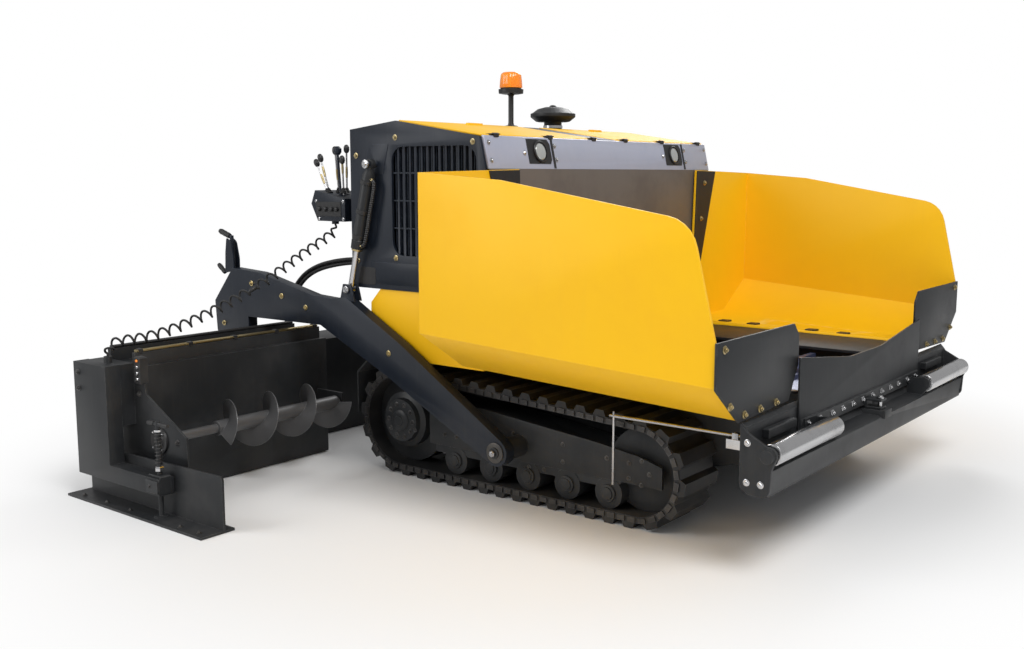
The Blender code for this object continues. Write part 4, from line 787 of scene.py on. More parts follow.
def augerPart(look, x, side, low, high, first, last, radius):
    # ribbon point = axis + r * (cos a, sin a) at y(a); y moves one pitch a turn;
    # the section is a thin wedge
    turns = (last - first) / look["pitch"]
    count = int(turns * look["steps"])
    share = np.linspace(0, 1, count)
    angle = side * 2 * np.pi * turns * share + math.radians(8)
    section = np.array([
        (look["tube"] - 0.004, -look["blade"] / 2), (radius * 0.7, -look["blade"] / 2),
        (radius - 0.001, -look["tip"] / 2), (radius, 0.0), (radius - 0.001, look["tip"] / 2),
        (radius * 0.7, look["blade"] / 2), (look["tube"] - 0.004, look["blade"] / 2)])
    reach, thick = section[:, 0][None, :], section[:, 1][None, :]
    across = np.cos(angle)[:, None] * reach + x
    rise = np.sin(angle)[:, None] * reach + look["height"]
    along = side * ((first + (last - first) * share)[:, None] + thick)
    ribbon = ringsPart(np.stack([across, along, rise], -1))
    tube = turnedPart(
        [
            (low, look["shaft"]), (first - 0.004, look["shaft"]), (first - 0.002, look["tube"] - 0.003),
            (first, look["tube"]), (last, look["tube"]), (last + 0.002, look["tube"] - 0.003),
            (last + 0.004, look["shaft"]), (high, look["shaft"])],
        (x, 0, look["height"]), (0, side, 0), 24)
    collar = turnedPart(
        [
            (high - 0.050, look["shaft"] - 0.002), (high - 0.048, 0.036), (high - 0.012, 0.036),
            (high - 0.010, look["shaft"] - 0.002)],
        (x, 0, look["height"]), (0, side, 0), 20)
    return [ribbon, tube, collar]


# label, x, shaft from and to, blade from and to, blade radius
augerRows = (("main", -0.500, 0.0503, 0.6697, 0.080, 0.650, 0.120),
             ("extension", -0.860, 0.9973, 2.1077, 1.014, 1.822, 0.135))
for sideName, side in sides:
    for label, x, low, high, first, last, radius in augerRows:
        body = label + "_auger_body_" + sideName
        piece = partsPiece(
            label + "_auger_screw_" + sideName,
            augerPart(augerLook, x, side, low, high, first, last, radius), "augerSteel", body, 45.0)
        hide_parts(label + "_auger_" + sideName)
print("augers made")


# beacon: base, pole, cup and ribbed amber lens

beaconLook = {"x": -0.397, "foot": 1.8745, "top": 2.198, "ribs": 28, "ribDepth": 0.022}


def makeBeacon(look):
    x, foot, top = look["x"], look["foot"], look["top"]
    cup = top - 0.128
    pole = turnedPart(
        [
            (0, 0.040), (0.006, 0.044), (0.012, 0.040), (0.016, 0.019), (0.030, 0.0155),
            (cup - foot - 0.010, 0.0155), (cup - foot, 0.024)],
        (x, 0, foot), (0, 0, 1), 28)
    base = turnedPart(
        [(0, 0.050), (0.004, 0.072), (0.020, 0.0735), (0.028, 0.0735), (0.030, 0.064), (0.036, 0.060)],
        (x, 0, cup), (0, 0, 1), 40)
    made = partsPiece("beacon_mount", [pole, base], "blackPlastic", "base")
    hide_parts("beacon")
    # lens radius = profile radius * (1 - rib depth * half wave round it)
    profile = np.array([
        (0.036, 0.066), (0.040, 0.0675), (0.080, 0.0645), (0.108, 0.061), (0.120, 0.055),
        (0.126, 0.044), (0.128, 0.020)])
    angle = np.linspace(0, 2 * np.pi, look["ribs"] * 6, endpoint=False)
    wave = 1 - look["ribDepth"] * (0.5 + 0.5 * np.cos(angle * look["ribs"]))
    wave = np.where(profile[:, 1:2] > 0.05, wave[None, :], 1.0)
    rings = np.stack([x + profile[:, 1:2] * wave * np.cos(angle), profile[:, 1:2] * wave * np.sin(angle),
                      np.broadcast_to(cup + profile[:, :1], wave.shape)], -1)
    points, faces = ringsPart(rings)
    putMesh("beacon_lens", points, faces, "amberLens", "base", 50.0)


makeBeacon(beaconLook)


# air cleaner top: a cap with a ring of upright vanes under it

cleanerLook = {
    "centre": (-0.397, 0.420), "vanes": 40, "ring": 0.088, "vaneFoot": 1.924, "clampFoot": 1.884,
    "knobFoot": 2.0135}


def makeCleaner(look):
    centre = look["centre"]
    angles = np.linspace(0, 2 * np.pi, look["vanes"], endpoint=False)
    feet = [(centre[0] + look["ring"] * math.cos(a), centre[1] + look["ring"] * math.sin(a),
             look["vaneFoot"]) for a in angles]
    vanes = [turnedPart([(0.0, 0.0035), (0.030, 0.0035)], foot, (0, 0, 1), 4, a)
             for foot, a in zip(feet, angles)]
    partsPiece("cleaner_vanes", vanes, "blackPlastic", "base")
    clamp = turnedPart(
        [(0, 0.0555), (0.002, 0.060), (0.018, 0.060), (0.020, 0.0555)], (*centre, look["clampFoot"]),
        (0, 0, 1), 32)
    partsPiece("cleaner_clamp", [clamp], "brightSteel", "base")
    knob = turnedPart(
        [(0, 0.022), (0.006, 0.022), (0.012, 0.016), (0.014, 0.006)], (*centre, look["knobFoot"]),
        (0, 0, 1), 20)
    partsPiece("cleaner_knob", [knob], "blackPlastic", "base")


makeCleaner(cleanerLook)
print("beacon and air cleaner made")


# light panel: a leaning face with two lamps, each on a flat dark plate that paints the shade of its
# cut-out, joint strips and bolts

panelLook = {"low": (0.3340, 1.6303), "high": (0.2983, 1.7860), "lamps": (-0.672, 0.672), "cutHalf": 0.121}


def onPanel(y, share, out=0.0):
    low, high = np.array(panelLook["low"]), np.array(panelLook["high"])
    line = high - low
    normal = np.array([line[1], -line[0]]) / np.linalg.norm(line)
    place = low + line * share + normal * out
    return (place[0], y, place[1])


def panelPlate(outline, out, thick):
    # outline of (y, share up the face), in two rings standing off the face
    outline = np.asarray(outline, float)
    rings = np.array([[onPanel(y, share, level) for y, share in outline] for level in (out, out + thick)])
    return ringsPart(rings)


def makePanel(look):
    dark, glass, rims, strips = [], [], [], []
    lean = np.subtract(onPanel(0, 0.5, 1.0), onPanel(0, 0.5, 0.0))
    for y in look["lamps"]:
        half = look["cutHalf"] * 0.80
        corner = [
            (y - half, 0.16), (y + half * 0.85, 0.16), (y + half, 0.30), (y + half, 0.80),
            (y + half * 0.80, 0.95), (y - half, 0.95)]
        # a flat dark plate on the face is painted shade standing in for the lamp's cut-out
        dark.append(panelPlate(corner, 0.0004, 0.0016))
        centre = onPanel(y + 0.006, 0.55, 0.0)
        rims.append(hoopPart(
            [(0.0, 0.0465), (0.0, 0.056), (0.009, 0.056), (0.0115, 0.053), (0.0115, 0.0465)], centre,
            lean, 36))
        glass.append(turnedPart(
            [(0.002, 0.0462), (0.006, 0.0455), (0.0095, 0.038), (0.0125, 0.024), (0.0135, 0.006)],
            centre, lean, 32))
        strips.append(panelPlate(
            [
                (y + half + 0.010, 0.02), (y + half + 0.026, 0.02), (y + half + 0.026, 0.98),
                (y + half + 0.010, 0.98)],
            0.0004, 0.0030))
    partsPiece("lamp_recess_shade_plates", dark, "blackPlastic", "base")
    partsPiece("lamp_rims", rims, "blackPlastic", "base")
    partsPiece("lamp_glasses", glass, "lampGlass", "base", 60.0)
    partsPiece("panel_strips", strips, "blackPlastic", "base")
    bolts = [onPanel(y + offset, share, 0.0005) for y in look["lamps"]
             for offset, share in ((-0.125, 0.5), (0.136, 0.30), (0.136, 0.75))]
    bolts += [onPanel(side * 1.065, share, 0.0) for side in (-1, 1) for share in (0.25, 0.80)]
    points, faces = hexBolts(bolts, lean, 0.009)
    putMesh("panel_bolts", points, faces, "brightSteel", "base")


makePanel(panelLook)


# hood latches on the front edge: a plate and a hook each

latchLook = {"places": (-1.000, -0.560, -0.160, 0.160, 0.560, 1.000), "plateHalf": 0.034, "hookHalf": 0.018}


def makeLatches(look):
    parts = []
    for y in look["places"]:
        parts.append(boxPart(
            (0.262, 0.300), (y - look["plateHalf"], y + look["plateHalf"]), (1.7935, 1.7985), 0.001))
        parts.append(boxPart(
            (0.286, 0.3040), (y - look["hookHalf"], y + look["hookHalf"]), (1.780, 1.8020), 0.003))
    partsPiece("hood_latches", parts, "blackPlastic", "base")


makeLatches(latchLook)
print("light panel made")


# grilles: fine upright fins behind the bars, rails and corner bolts

grilleLook = {
    "rear": -0.300, "front": 0.265, "bottom": 1.190, "top": 1.742, "fins": 34, "thick": 0.0035,
    "rails": (1.330, 1.470, 1.610),
    "bolts": (
        (-0.271, 1.788), (0.243, 1.759), (-0.276, 1.177), (0.243, 1.150), (-0.556, 1.700),
        (-0.556, 1.150))}


def makeGrille(look, sideName, side):
    xs = np.linspace(look["rear"] + 0.012, look["front"] - 0.012, look["fins"])
    fins = [boxPart(
        (x - look["thick"], x + look["thick"]), (side * 1.068, side * 1.086),
        (look["bottom"] + 0.002, look["top"] - 0.002), 0.001) for x in xs]
    partsPiece("grille_fins_" + sideName, fins, "blueBlackPaint", "base")
    back = boxPart(
        (look["rear"] - 0.01, look["front"] + 0.01), (side * 1.050, side * 1.056),
        (look["bottom"] - 0.01, look["top"] + 0.01), 0.001)
    partsPiece("grille_mesh_" + sideName, [back], "blackPlastic", "base")
    rails = [boxPart(
        (look["rear"] + 0.004, look["front"] - 0.004), (side * 1.0905, side * 1.0965),
        (z - 0.004, z + 0.004), 0.001) for z in look["rails"]]
    partsPiece("grille_rails_" + sideName, rails, "blueBlackPaint", "base")
    boltsPiece("side_panel_bolts_" + sideName, "side_panel_" + sideName,
               sidePlaces(look["bolts"], side, 1.110), (0, side, 0), 0.0105, "zincGold", "base")
    # a thin cover plate under the panel's rear corner, clear of the tow arm
    cover = platePart(
        [(-0.549, 1.030), (-0.425, 1.030), (-0.425, 1.120), (-0.549, 1.120)], "y",
        *sorted((side * 1.1063, side * 1.1095)), 0.014, 0.0008)
    partsPiece("socket_cover_" + sideName, [cover], "blackPlastic", "base")


for sideName, side in sides:
    makeGrille(grilleLook, sideName, side)
print("grilles made")


# lift cylinders: bands, a wiper ring, pin heads and a spiral-guarded hose

cylinderLook = {
    "top": (-0.410, 1.655), "eye": (-0.575, 1.000), "y": 1.146, "barrel": 0.450,
    "bands": (0.085, 0.240, 0.375)}


def makeCylinder(look, sideName, side):
    top = np.array([look["top"][0], side * look["y"], look["top"][1]])
    eye = np.array([look["eye"][0], side * look["y"], look["eye"][1]])
    line = (eye - top) / np.linalg.norm(eye - top)
    bands = [hoopPart(
        [(0, 0.0300), (0, 0.0335), (0.002, 0.0362), (0.020, 0.0362), (0.022, 0.0335), (0.022, 0.0300)],
        top + line * at, line) for at in look["bands"]]
    partsPiece("cylinder_bands_" + sideName, bands, "blackPlastic", "barrel_" + sideName)
    wiper = hoopPart(
        [(0, 0.0175), (0, 0.0285), (0.010, 0.0285), (0.013, 0.022), (0.0135, 0.0175)],
        top + line * (look["barrel"] + 0.0005), line)
    partsPiece("cylinder_wiper_" + sideName, [wiper], "zincGold", "barrel_" + sideName)
    # guard: a tube whose radius rises and falls along its length
    off = np.array([0.052, side * 0.004, -0.013])
    knots = [
        top + line * 0.075 + off * 0.55, top + line * 0.105 + off, top + line * 0.25 + off * 1.02,
        top + line * 0.40 + off, top + line * 0.43 + off * 0.6]
    path = smoothLine(knots, 170)
    wave = 0.0105 + 0.0017 * np.sin(np.linspace(0, 2 * np.pi * 34, 170))
    partsPiece(
        "cylinder_hose_guard_" + sideName, [tubePart(path, wave, 12)], "blackPlastic",
        "barrel_" + sideName, 70.0)
    fitting = [turnedPart(
        [(0, 0.009), (0.012, 0.013), (0.030, 0.013), (0.034, 0.010)], top + line * at + off * 0.15,
        off / np.linalg.norm(off), 6) for at in (0.078, 0.428)]
    partsPiece("cylinder_fittings_" + sideName, fitting, "zincGold", "barrel_" + sideName)
    pin = turnedPart(
        [(0, 0.022), (0.004, 0.024), (0.010, 0.022), (0.012, 0.012), (0.016, 0.010)],
        (top[0], side * 1.1782, top[2]), (0, side, 0), 24)
    partsPiece("cylinder_pin_head_" + sideName, [pin], "brightSteel", "base")
    low = [turnedPart(
        [(0, 0.010), (0.003, 0.020), (0.010, 0.020), (0.012, 0.012)], (eye[0], side * 1.1745, eye[2]),
        (0, side, 0), 20)]
    partsPiece("cylinder_low_pin_" + sideName, low, "brightSteel", "screed")


for sideName, side in sides:
    makeCylinder(cylinderLook, sideName, side)
print("cylinders made")


# consoles: thin levers with knobs and boots, a switch plate and bolts

consoleLook = {"levers": (
    ((-0.985, 0.905), (-1.092, 0.905, 1.673)), ((-0.945, 0.870), (-0.963, 0.880, 1.742)),
    ((-0.905, 0.850), (-0.901, 0.850, 1.751)), ((-0.945, 0.935), (-1.020, 0.940, 1.700)),
    ((-0.875, 0.900), (-0.880, 0.905, 1.690)))}


def makeConsole(look, sideName, side):
    rods, knobs, boots, golds = [], [], [], []
    for index, ((x, y), (tipX, tipY, tipZ)) in enumerate(look["levers"]):
        foot, tip = np.array([x, side * y, 1.470]), np.array([tipX, side * tipY, tipZ])
        line = (tip - foot) / np.linalg.norm(tip - foot)
        rods.append(tubePart(np.linspace(foot, tip - line * 0.02, 6), 0.0050, 10))
        knobs.append(turnedPart(
            [
                (0, 0.007), (0.006, 0.013), (0.018, 0.0165), (0.034, 0.0155), (0.044, 0.010),
                (0.047, 0.004)],
            tip - line * 0.030, line, 18))
        boots.append(turnedPart(
            [
                (0, 0.020), (0.004, 0.022), (0.010, 0.016), (0.014, 0.017), (0.020, 0.011),
                (0.024, 0.012), (0.032, 0.006)],
            foot + line * 0.028, line, 18))
        golds.append(turnedPart(
            [(0, 0.0062), (0.030, 0.0072), (0.060, 0.0062)], foot + line * (0.09 + 0.012 * index), line,
            12))
    partsPiece("console_levers_" + sideName, rods, "brightSteel", "base")
    partsPiece("console_knobs_" + sideName, knobs, "blackPlastic", "base")
    partsPiece("console_boots_" + sideName, boots, "blackRubber", "base")
    partsPiece("console_sleeves_" + sideName, golds, "zincGold", "base")
    face = [boxPart((-1.010, -0.810), (side * 0.9852, side * 0.9885), (1.372, 1.452), 0.001)]
    face += [turnedPart(
        [(0, 0.013), (0.004, 0.014), (0.012, 0.011), (0.014, 0.008)], (x, side * 0.9885, 1.412),
        (0, side, 0), 18) for x in (-0.98, -0.93, -0.88, -0.84)]
    partsPiece("console_switches_" + sideName, face, "blackPlastic", "base")
    boltsPiece(
        "console_bolts_" + sideName, "console_" + sideName,
        sidePlaces([(-1.012, 1.455), (-0.795, 1.455), (-0.990, 1.358), (-0.795, 1.358)], side, 0.990),
        (0, side, 0), 0.006, "brightSteel", "base")


for sideName, side in sides:
    makeConsole(consoleLook, sideName, side)
print("consoles made")


# hopper wings: flashing bolts, corner strips and hinge tabs

hopperLook = {
    "flashingBolts": ((1.445, 0.949), (1.389, 0.720), (1.263, 0.668), (1.122, 0.668), (0.973, 0.670)),
    "cornerStrip": ((0.892, 1.6245), (1.125, 1.6205), (0.882, 0.800), (0.860, 0.800)),
    "stripFace": (0.3575, 0.3635), "cornerBolts": ((0.984, 1.550), (0.950, 1.330), (0.915, 1.080)),
    "hingeTabs": (0.57, 0.76, 1.13, 1.32)}


def makeHopper(look, sideName, side):
    wing = "wing_" + sideName
    back, front = look["stripFace"]
    places = [(1.80, side * y, z) for y, z in look["flashingBolts"]]
    boltsPiece(
        "flashing_bolts_" + sideName, "wing_flashing_" + sideName, places, (1, 0, 0), 0.012, "zincGold",
        wing)
    corner = [(side * y, z) for y, z in look["cornerStrip"]]
    partsPiece(
        "wing_corner_strip_" + sideName, [platePart(corner, "x", back, front, 0.0, 0.001)],
        "blackRubber", wing)
    points, faces = hexBolts([(front, side * y, z) for y, z in look["cornerBolts"]], (1, 0, 0), 0.011)
    putMesh("wing_corner_bolts_" + sideName, points, faces, "zincGold", wing)
    tabs = []
    for x in look["hingeTabs"]:
        hit = seated("hopper_wing_" + sideName, [(x, side * 0.905, 0.75)], (0, 0, 1))
        if hit:
            tabs.append(boxPart(
                (x - 0.030, x + 0.030), (side * 0.875, side * 0.935),
                (hit[0][2] - 0.004, hit[0][2] + 0.009), 0.002))
    if tabs:
        partsPiece("wing_hinge_tabs_" + sideName, tabs, "blackPlastic", wing)


for sideName, side in sides:
    makeHopper(hopperLook, sideName, side)


# apron and push beam: a bolted strip, cleats, a clevis with its pin, and end bolts

apronLook = {
    "back": 1.7933, "front": 1.8000, "boltHeight": 0.536,
    "boltHalf": (0.063, 0.190, 0.315, 0.438, 0.575, 0.704), "pin": (1.862, 0.482, 0.5378),
    "endBolts": ((1.790, 0.560), (1.790, 0.400), (1.850, 0.400))}


def makeApron(look):
    strip = [(-0.742, 0.506), (0.742, 0.506), (0.742, 0.560),
             (0.230, 0.560), (-0.230, 0.560), (-0.742, 0.560)]
    partsPiece(
        "apron_strip", [platePart(strip, "x", look["back"], look["front"], 0.0, 0.001)],
        "graphitePaint", "base")
    half = look["boltHalf"]
    places = [(look["front"], y, look["boltHeight"]) for y in [-y for y in half[::-1]] + list(half)]
    points, faces = hexBolts(places, (1, 0, 0), 0.0105)
    putMesh("apron_bolts", points, faces, "brightSteel", "base")
    cleats = [boxPart((1.7793, 1.8090), (side * 0.850, side * 1.120), (0.548, 0.588), 0.004)
              for side in (-1, 1)]
    partsPiece("beam_cleats", cleats, "graphitePaint", "base")
    hook = [
        boxPart((1.800, 1.880), (-0.036, 0.036), (0.4885, 0.500), 0.002),
        boxPart((1.800, 1.880), (-0.036, 0.036), (0.526, 0.5375), 0.002),
        boxPart((1.8005, 1.812), (-0.036, 0.036), (0.498, 0.528), 0.001)]
    partsPiece("tow_clevis", hook, "graphitePaint", "base")
    pinX, pinFoot, pinHead = look["pin"]
    pin = [turnedPart([(0, 0.010), (0.070, 0.010)], (pinX, 0, pinFoot), (0, 0, 1), 16),
           turnedPart([(0, 0.016), (0.006, 0.017), (0.010, 0.012)], (pinX, 0, pinHead), (0, 0, 1), 20)]
    partsPiece("tow_pin", pin, "brightSteel", "base")
    for sideName, side in sides:
        boltsPiece(
            "beam_end_bolts_" + sideName, "push_beam",
            [(x, side * 1.4, z) for x, z in look["endBolts"]], (0, side, 0), 0.010, "brightSteel",
            "base")


makeApron(apronLook)
print("hopper made")


# tracks: side links, inner guides, roller caps, hub cover and bolts

trackLook = {
    "rear": (-0.352, 0.297), "rearRadius": 0.297, "front": (1.120, 0.260), "frontRadius": 0.260,
    "lug": 0.028, "belt": 0.032, "count": 80, "hubRing": 0.088, "idlerRing": 0.060,
    "frameBolts": (
        (-0.245, 0.26), (-0.165, 0.26), (-0.055, 0.26), (0.025, 0.26), (0.495, 0.18), (0.585, 0.18),
        (0.12, 0.345), (0.40, 0.335), (0.70, 0.325), (0.95, 0.300), (0.30, 0.24), (0.70, 0.24))}


def beltPlaces(look, depth, count):
    # evenly spaced points on the belt round two circles, a given depth inside the lugs' tips,
    # with outward directions
    rear, front = np.array(look["rear"]), np.array(look["front"])
    rearRadius, frontRadius = look["rearRadius"] - depth, look["frontRadius"] - depth
    gap = front - rear
    across = math.hypot(*gap)
    tilt = math.atan2(gap[1], gap[0])
    lean = math.acos((rearRadius - frontRadius) / across)
    bottomAngle, topAngle = tilt - lean, tilt + lean
    rearArc = np.linspace(topAngle, bottomAngle + 2 * np.pi, 90)
    frontArc = np.linspace(bottomAngle, topAngle, 90)
    direction = np.concatenate([
        np.stack([np.cos(rearArc), np.sin(rearArc)], 1),
        np.stack([np.cos(frontArc), np.sin(frontArc)], 1)])
    loop = np.concatenate([rear + rearRadius * direction[:90], front + frontRadius * direction[90:]])
    loop, direction = np.concatenate([loop, loop[:1]]), np.concatenate([direction, direction[:1]])
    length = np.concatenate([[0], np.cumsum(np.linalg.norm(np.diff(loop, axis=0), axis=1))])
    even = np.linspace(0, length[-1], count, endpoint=False)
    place = np.stack([np.interp(even, length, loop[:, axis]) for axis in (0, 1)], 1)
    out = np.stack([np.interp(even, length, direction[:, axis]) for axis in (0, 1)], 1)
    return place, out / np.linalg.norm(out, axis=1)[:, None]


def orientedBoxes(centres, out, half, yRange):
    # one box per place: along the belt, across the belt's thickness,
    # and between two heights off the middle plane
    along = np.stack([-out[:, 1], out[:, 0]], 1)
    signs = np.array([(-1, -1), (1, -1), (1, 1), (-1, 1)], float)
    flat = (centres[:, None] + signs[None, :, :1] * half[0] * along[:, None]
            + signs[None, :, 1:] * half[1] * out[:, None])
    points = np.empty((len(centres), 2, 4, 3))
    points[..., 0], points[..., 2] = flat[:, None, :, 0], flat[:, None, :, 1]
    points[:, 0, :, 1], points[:, 1, :, 1] = yRange
    base = np.array([[0, 1, 2, 3], [7, 6, 5, 4], [0, 4, 5, 1], [1, 5, 6, 2], [2, 6, 7, 3], [3, 7, 4, 0]])
    faces = (base[None] + 8 * np.arange(len(centres))[:, None, None]).reshape(-1, 4)
    return points.reshape(-1, 3), faces.tolist()


def makeTrack(look, sideName, side):
    place, out = beltPlaces(look, look["lug"] + look["belt"] * 0.5, look["count"])
    links = orientedBoxes(place, out, (0.019, 0.0115), (side * 1.0163, side * 1.0225))
    partsPiece("track_links_" + sideName, [links], "wornSteel", "base", 30.0)
    inner, innerOut = beltPlaces(look, look["lug"] + look["belt"] + 0.004, look["count"] // 2)
    guides = orientedBoxes(inner, innerOut, (0.016, 0.005), (side * 0.7400, side * 0.7800))
    partsPiece("track_guides_" + sideName, [guides], "wornSteel", "base", 30.0)
    rollers = [(0.02 + 0.235 * index, 0.1353) for index in range(5)]
    caps = seated("track_frame_" + sideName, sidePlaces(rollers, side, 1.1), (0, side, 0))
    parts = [turnedPart(
        [(0, 0.040), (0.004, 0.042), (0.010, 0.040), (0.012, 0.030), (0.018, 0.028), (0.021, 0.018)],
        cap, (0, side, 0), 24) for cap in caps]
    partsPiece("roller_caps_" + sideName, parts, "graphitePaint", "base")
    angles = np.linspace(0, 2 * np.pi, 10, endpoint=False)
    (rearX, rearZ), (frontX, frontZ) = look["rear"], look["front"]
    ring = [(rearX + look["hubRing"] * math.cos(a), rearZ + look["hubRing"] * math.sin(a)) for a in angles]
    boltsPiece(
        "hub_bolts_" + sideName, "track_frame_" + sideName, sidePlaces(ring, side, 1.1), (0, side, 0),
        0.0095, "wornSteel", "base")
    middle = seated("track_frame_" + sideName, [(rearX, side * 1.1, rearZ)], (0, side, 0))
    cover = [turnedPart(
        [(0, 0.058), (0.004, 0.058), (0.010, 0.050), (0.012, 0.030), (0.018, 0.026), (0.020, 0.014)],
        middle[0], (0, side, 0), 32)]
    partsPiece("hub_cover_" + sideName, cover, "graphitePaint", "base")
    ring = [(frontX + look["idlerRing"] * math.cos(a), frontZ + look["idlerRing"] * math.sin(a))
            for a in angles[::2]]
    ring += list(look["frameBolts"])
    boltsPiece(
        "frame_bolts_" + sideName, "track_frame_" + sideName, sidePlaces(ring, side, 1.1), (0, side, 0),
        0.0085, "wornSteel", "base")


for sideName, side in sides:
    makeTrack(trackLook, sideName, side)
print("tracks made")


# tow arms: pivot washer and bolt, plate bolts, crank plates and grips

armLook = {
    "pivot": (0.436, 0.280), "middle": 1.146,
    "bolts": (
        (-1.360, 0.985), (-1.625, 0.735), (-1.500, 0.660), (-0.900, 0.880), (-0.270, 0.690),
        (-1.100, 0.930)),
    "fin": (
        (-1.610, 1.030), (-1.530, 1.048), (-1.530, 1.120), (-1.552, 1.215), (-1.590, 1.238),
        (-1.604, 1.150))}


def makeArm(look, sideName, side):
    pivotX, pivotZ = look["pivot"]
    places = sidePlaces(look["bolts"], side, 1.180)
    boltsPiece(
        "arm_bolts_" + sideName, "tow_arm_" + sideName, places, (0, side, 0), 0.011, "zincGold",
        "screed")
    washer = [turnedPart(
        [(0, 0.030), (0.0005, 0.050), (0.006, 0.050), (0.008, 0.046)], (pivotX, side * 1.1785, pivotZ),
        (0, side, 0), 32)]
    partsPiece("arm_pivot_washer_" + sideName, washer, "wornSteel", "screed")
    points, faces = hexBolts([(pivotX, side * 1.1940, pivotZ)], (0, side, 0), 0.017, False)
    putMesh("arm_pivot_bolt_" + sideName, points, faces, "brightSteel", "base")
    middle, fin = side * look["middle"], look["fin"]
    parts = [
        platePart(fin, "y", middle + 0.016, middle + 0.024, 0.012, 0.001),
        platePart(fin, "y", middle - 0.024, middle - 0.016, 0.012, 0.001)]
    partsPiece("arm_crank_plates_" + sideName, parts, "blueBlackPaint", "screed")
    grip = [tubePart(
        np.linspace((-1.585, middle, 1.2455), (-1.675, middle, 1.2740), 7),
        np.array([0.014, 0.017, 0.0155, 0.017, 0.0155, 0.017, 0.013]), 16)]
    grip += [tubePart(
        np.linspace((-1.640, middle, 1.030), (-1.700, middle, 1.075), 6),
        np.array([0.012, 0.0145, 0.013, 0.0145, 0.0145, 0.011]), 14)]
    partsPiece("arm_crank_grips_" + sideName, grip, "blackRubber", "screed")


for sideName, side in sides:
    makeArm(armLook, sideName, side)


# screed extensions: top rails, end-plate bolts, bearing flange, jack clamps, nuts, grips and spring

extensionLook = {
    "goldRails": (-1.068, -1.082), "darkRails": (-1.283, -1.298), "railEnds": (0.955, 2.120),
    "clips": (0.975, 1.25, 1.53, 1.81, 2.10),
    "plateBolts": (
        (-1.300, 0.640), (-1.300, 0.560), (-1.020, 0.620), (-1.020, 0.540), (-0.720, 0.340),
        (-0.720, 0.165)),
    "auger": (-0.860, 0.330), "flangeRing": 0.053, "jack": (-0.700, 2.262), "crankHeight": 0.455,
    "springRadius": 0.0165, "springTurns": 9, "springFoot": 0.262, "springHeight": 0.150,
    "skiBolts": (-1.30, -1.10, -0.90, -0.50, -0.36)}


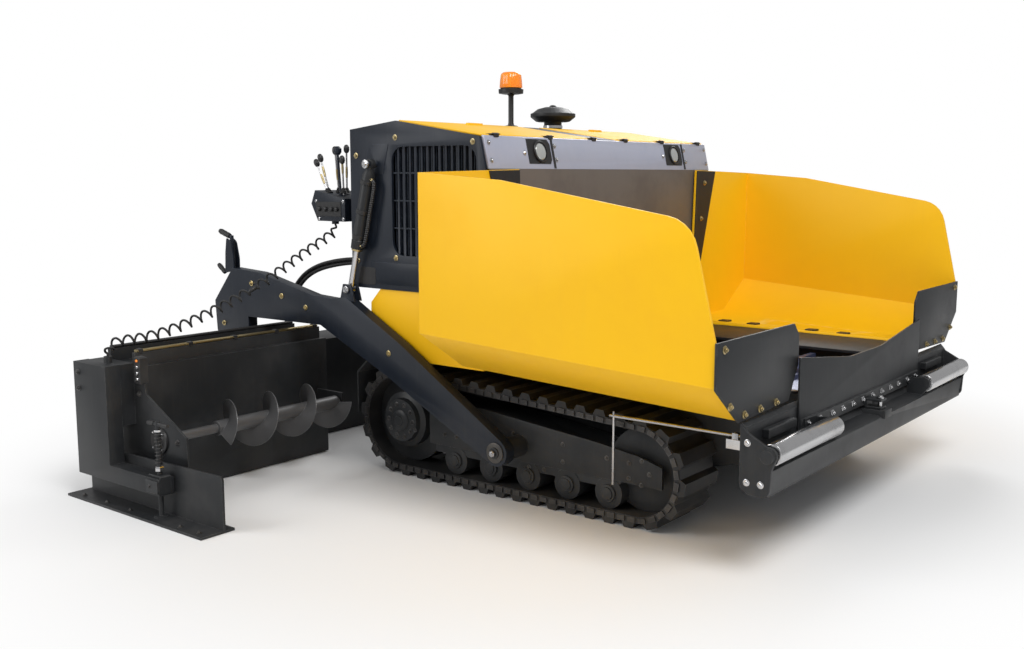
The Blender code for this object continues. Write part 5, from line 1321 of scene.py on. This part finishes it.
def makeExtension(look, sideName, side):
    augerX, augerZ = look["auger"]
    jackX, jackY = look["jack"][0], side * look["jack"][1]
    ys = side * np.linspace(*look["railEnds"], 12)
    body, node = "extension_" + sideName, "screed_extension_" + sideName
    rails = [tubePart([(x, y, 0.7425) for y in ys], 0.0068, 12) for x in look["goldRails"]]
    partsPiece("extension_gold_rails_" + sideName, rails, "zincGold", body)
    dark = [tubePart([(x, y, 0.7430) for y in ys], 0.0075, 12) for x in look["darkRails"]]
    dark += [boxPart((-1.090, -1.060), (side * (y - 0.012), side * (y + 0.012)), (0.728, 0.753), 0.003)
             for y in look["clips"]]
    partsPiece("extension_dark_rails_" + sideName, dark, "blackPlastic", body)
    places = sidePlaces(look["plateBolts"], side, 2.150)
    boltsPiece("extension_plate_bolts_" + sideName, node, places, (0, side, 0), 0.011, "wornSteel", body)
    flange = [turnedPart(
        [(0, 0.064), (0.003, 0.066), (0.012, 0.064), (0.014, 0.046), (0.022, 0.042), (0.024, 0.030)],
        (augerX, side * 2.1452, augerZ), (0, side, 0), 32)]
    partsPiece("auger_bearing_" + sideName, flange, "blackPlastic", body)
    around = np.linspace(0, 2 * np.pi, 4, endpoint=False) + 0.785
    ring = look["flangeRing"]
    places = [(augerX + ring * math.cos(a), side * 2.157, augerZ + ring * math.sin(a)) for a in around]
    points, faces = hexBolts(places, (0, side, 0), 0.007, False)
    putMesh("auger_bearing_bolts_" + sideName, points, faces, "brightSteel", body)
    clamps = [
        boxPart((-0.752, -0.656), (side * 2.236, side * 2.288), (0.2055, 0.2165), 0.002),
        boxPart((-0.748, -0.657), (side * 2.3005, side * 2.3080), (0.135, 0.196), 0.002)]
    clamps += [boxPart((-0.660, -0.652), (side * 2.236, side * 2.292), (0.128, 0.214), 0.002)]
    partsPiece("jack_clamps_" + sideName, clamps, "graphitePaint", body)
    nut = [
        turnedPart(
            [(0, 0.019), (0.004, 0.022), (0.020, 0.022), (0.024, 0.019)], (jackX, jackY, 0.232),
            (0, 0, 1), 6),
        turnedPart(
            [(0, 0.0125), (0.001, 0.0185), (0.010, 0.0185), (0.012, 0.0125)], (jackX, jackY, 0.420),
            (0, 0, 1), 20)]
    partsPiece("jack_nuts_" + sideName, nut, "brightSteel", "gate_" + sideName)
    gripRadius = np.array([0.011, 0.013, 0.012, 0.013, 0.012, 0.009])
    grips = []
    for way in (-1, 1):
        start = (jackX + way * 0.030, jackY, look["crankHeight"])
        end = (jackX + way * 0.078, jackY, look["crankHeight"])
        grips.append(tubePart(np.linspace(start, end, 6), gripRadius, 14))
    partsPiece("jack_grips_" + sideName, grips, "blackRubber", "gate_" + sideName)
    # spring between nut and cross bar: circle carried along a helix
    share = np.linspace(0, 1, 150)
    angle = 2 * np.pi * look["springTurns"] * share
    radius = look["springRadius"]
    coil = np.stack([jackX + radius * np.cos(angle), jackY + radius * np.sin(angle),
                     look["springFoot"] + look["springHeight"] * share], 1)
    partsPiece(
        "jack_spring_" + sideName, [tubePart(coil, 0.0022, 8)], "wornSteel", "gate_" + sideName, 60.0)
    skiBolts = [(x, side * 2.30, 0.05) for x in look["skiBolts"]]
    boltsPiece(
        "ski_bolts_" + sideName, "end_gate_" + sideName, skiBolts, (0, 0, 1), 0.009, "wornSteel",
        "gate_" + sideName)


for sideName, side in sides:
    makeExtension(extensionLook, sideName, side)


handSetLook = {"x": -0.960, "wall": 2.1470, "face": 2.1900, "buttons": (0.625, 0.655, 0.685), "lamp": 0.715}


def makeHandSet(look):
    # hand set clipped to the right extension's end plate
    shell = [boxPart((-0.985, -0.935), (-look["wall"], -look["face"]), (0.600, 0.735), 0.007)]
    partsPiece("hand_set", shell, "blackPlastic", "extension_r")
    face = [turnedPart(
        [(0, 0.010), (0.003, 0.0105), (0.008, 0.008)], (look["x"], -look["face"], z), (0, -1, 0),
        16) for z in look["buttons"]]
    partsPiece("hand_set_buttons", face, "brightSteel", "extension_r")
    lamp = [turnedPart(
        [(0, 0.007), (0.003, 0.007), (0.006, 0.004)], (look["x"], -look["face"], look["lamp"]),
        (0, -1, 0), 14)]
    partsPiece("hand_set_lamp", lamp, "amberLens", "extension_r")


makeHandSet(handSetLook)
print("screed made")


# rear of the housing: louvres and a door frame

rearLook = {
    "louvreHalf": 0.520, "louvreHeights": (1.180, 1.560), "louvres": 12, "frameSides": 0.552,
    "frameLevels": (1.140, 1.600)}


def makeRear(look):
    half = look["louvreHalf"]
    louvres = []
    for z in np.linspace(*look["louvreHeights"], look["louvres"]):
        slat = [(-0.6005, z), (-0.6130, z - 0.006), (-0.6130, z - 0.010), (-0.6005, z - 0.004)]
        louvres.append(platePart(slat, "y", -half, half, 0.0, 0.0006))
    partsPiece("rear_louvres", louvres, "blueBlackPaint", "base")
    frames = [boxPart((-0.6090, -0.6004), (-0.560, 0.560), (z - 0.008, z + 0.008), 0.002)
              for z in look["frameLevels"]]
    frames += [boxPart((-0.6090, -0.6004), (y - 0.008, y + 0.008), (1.132, 1.608), 0.002)
               for y in (-look["frameSides"], look["frameSides"])]
    partsPiece("rear_door_frame", frames, "blueBlackPaint", "base")


makeRear(rearLook)
print("rear made")


low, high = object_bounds()
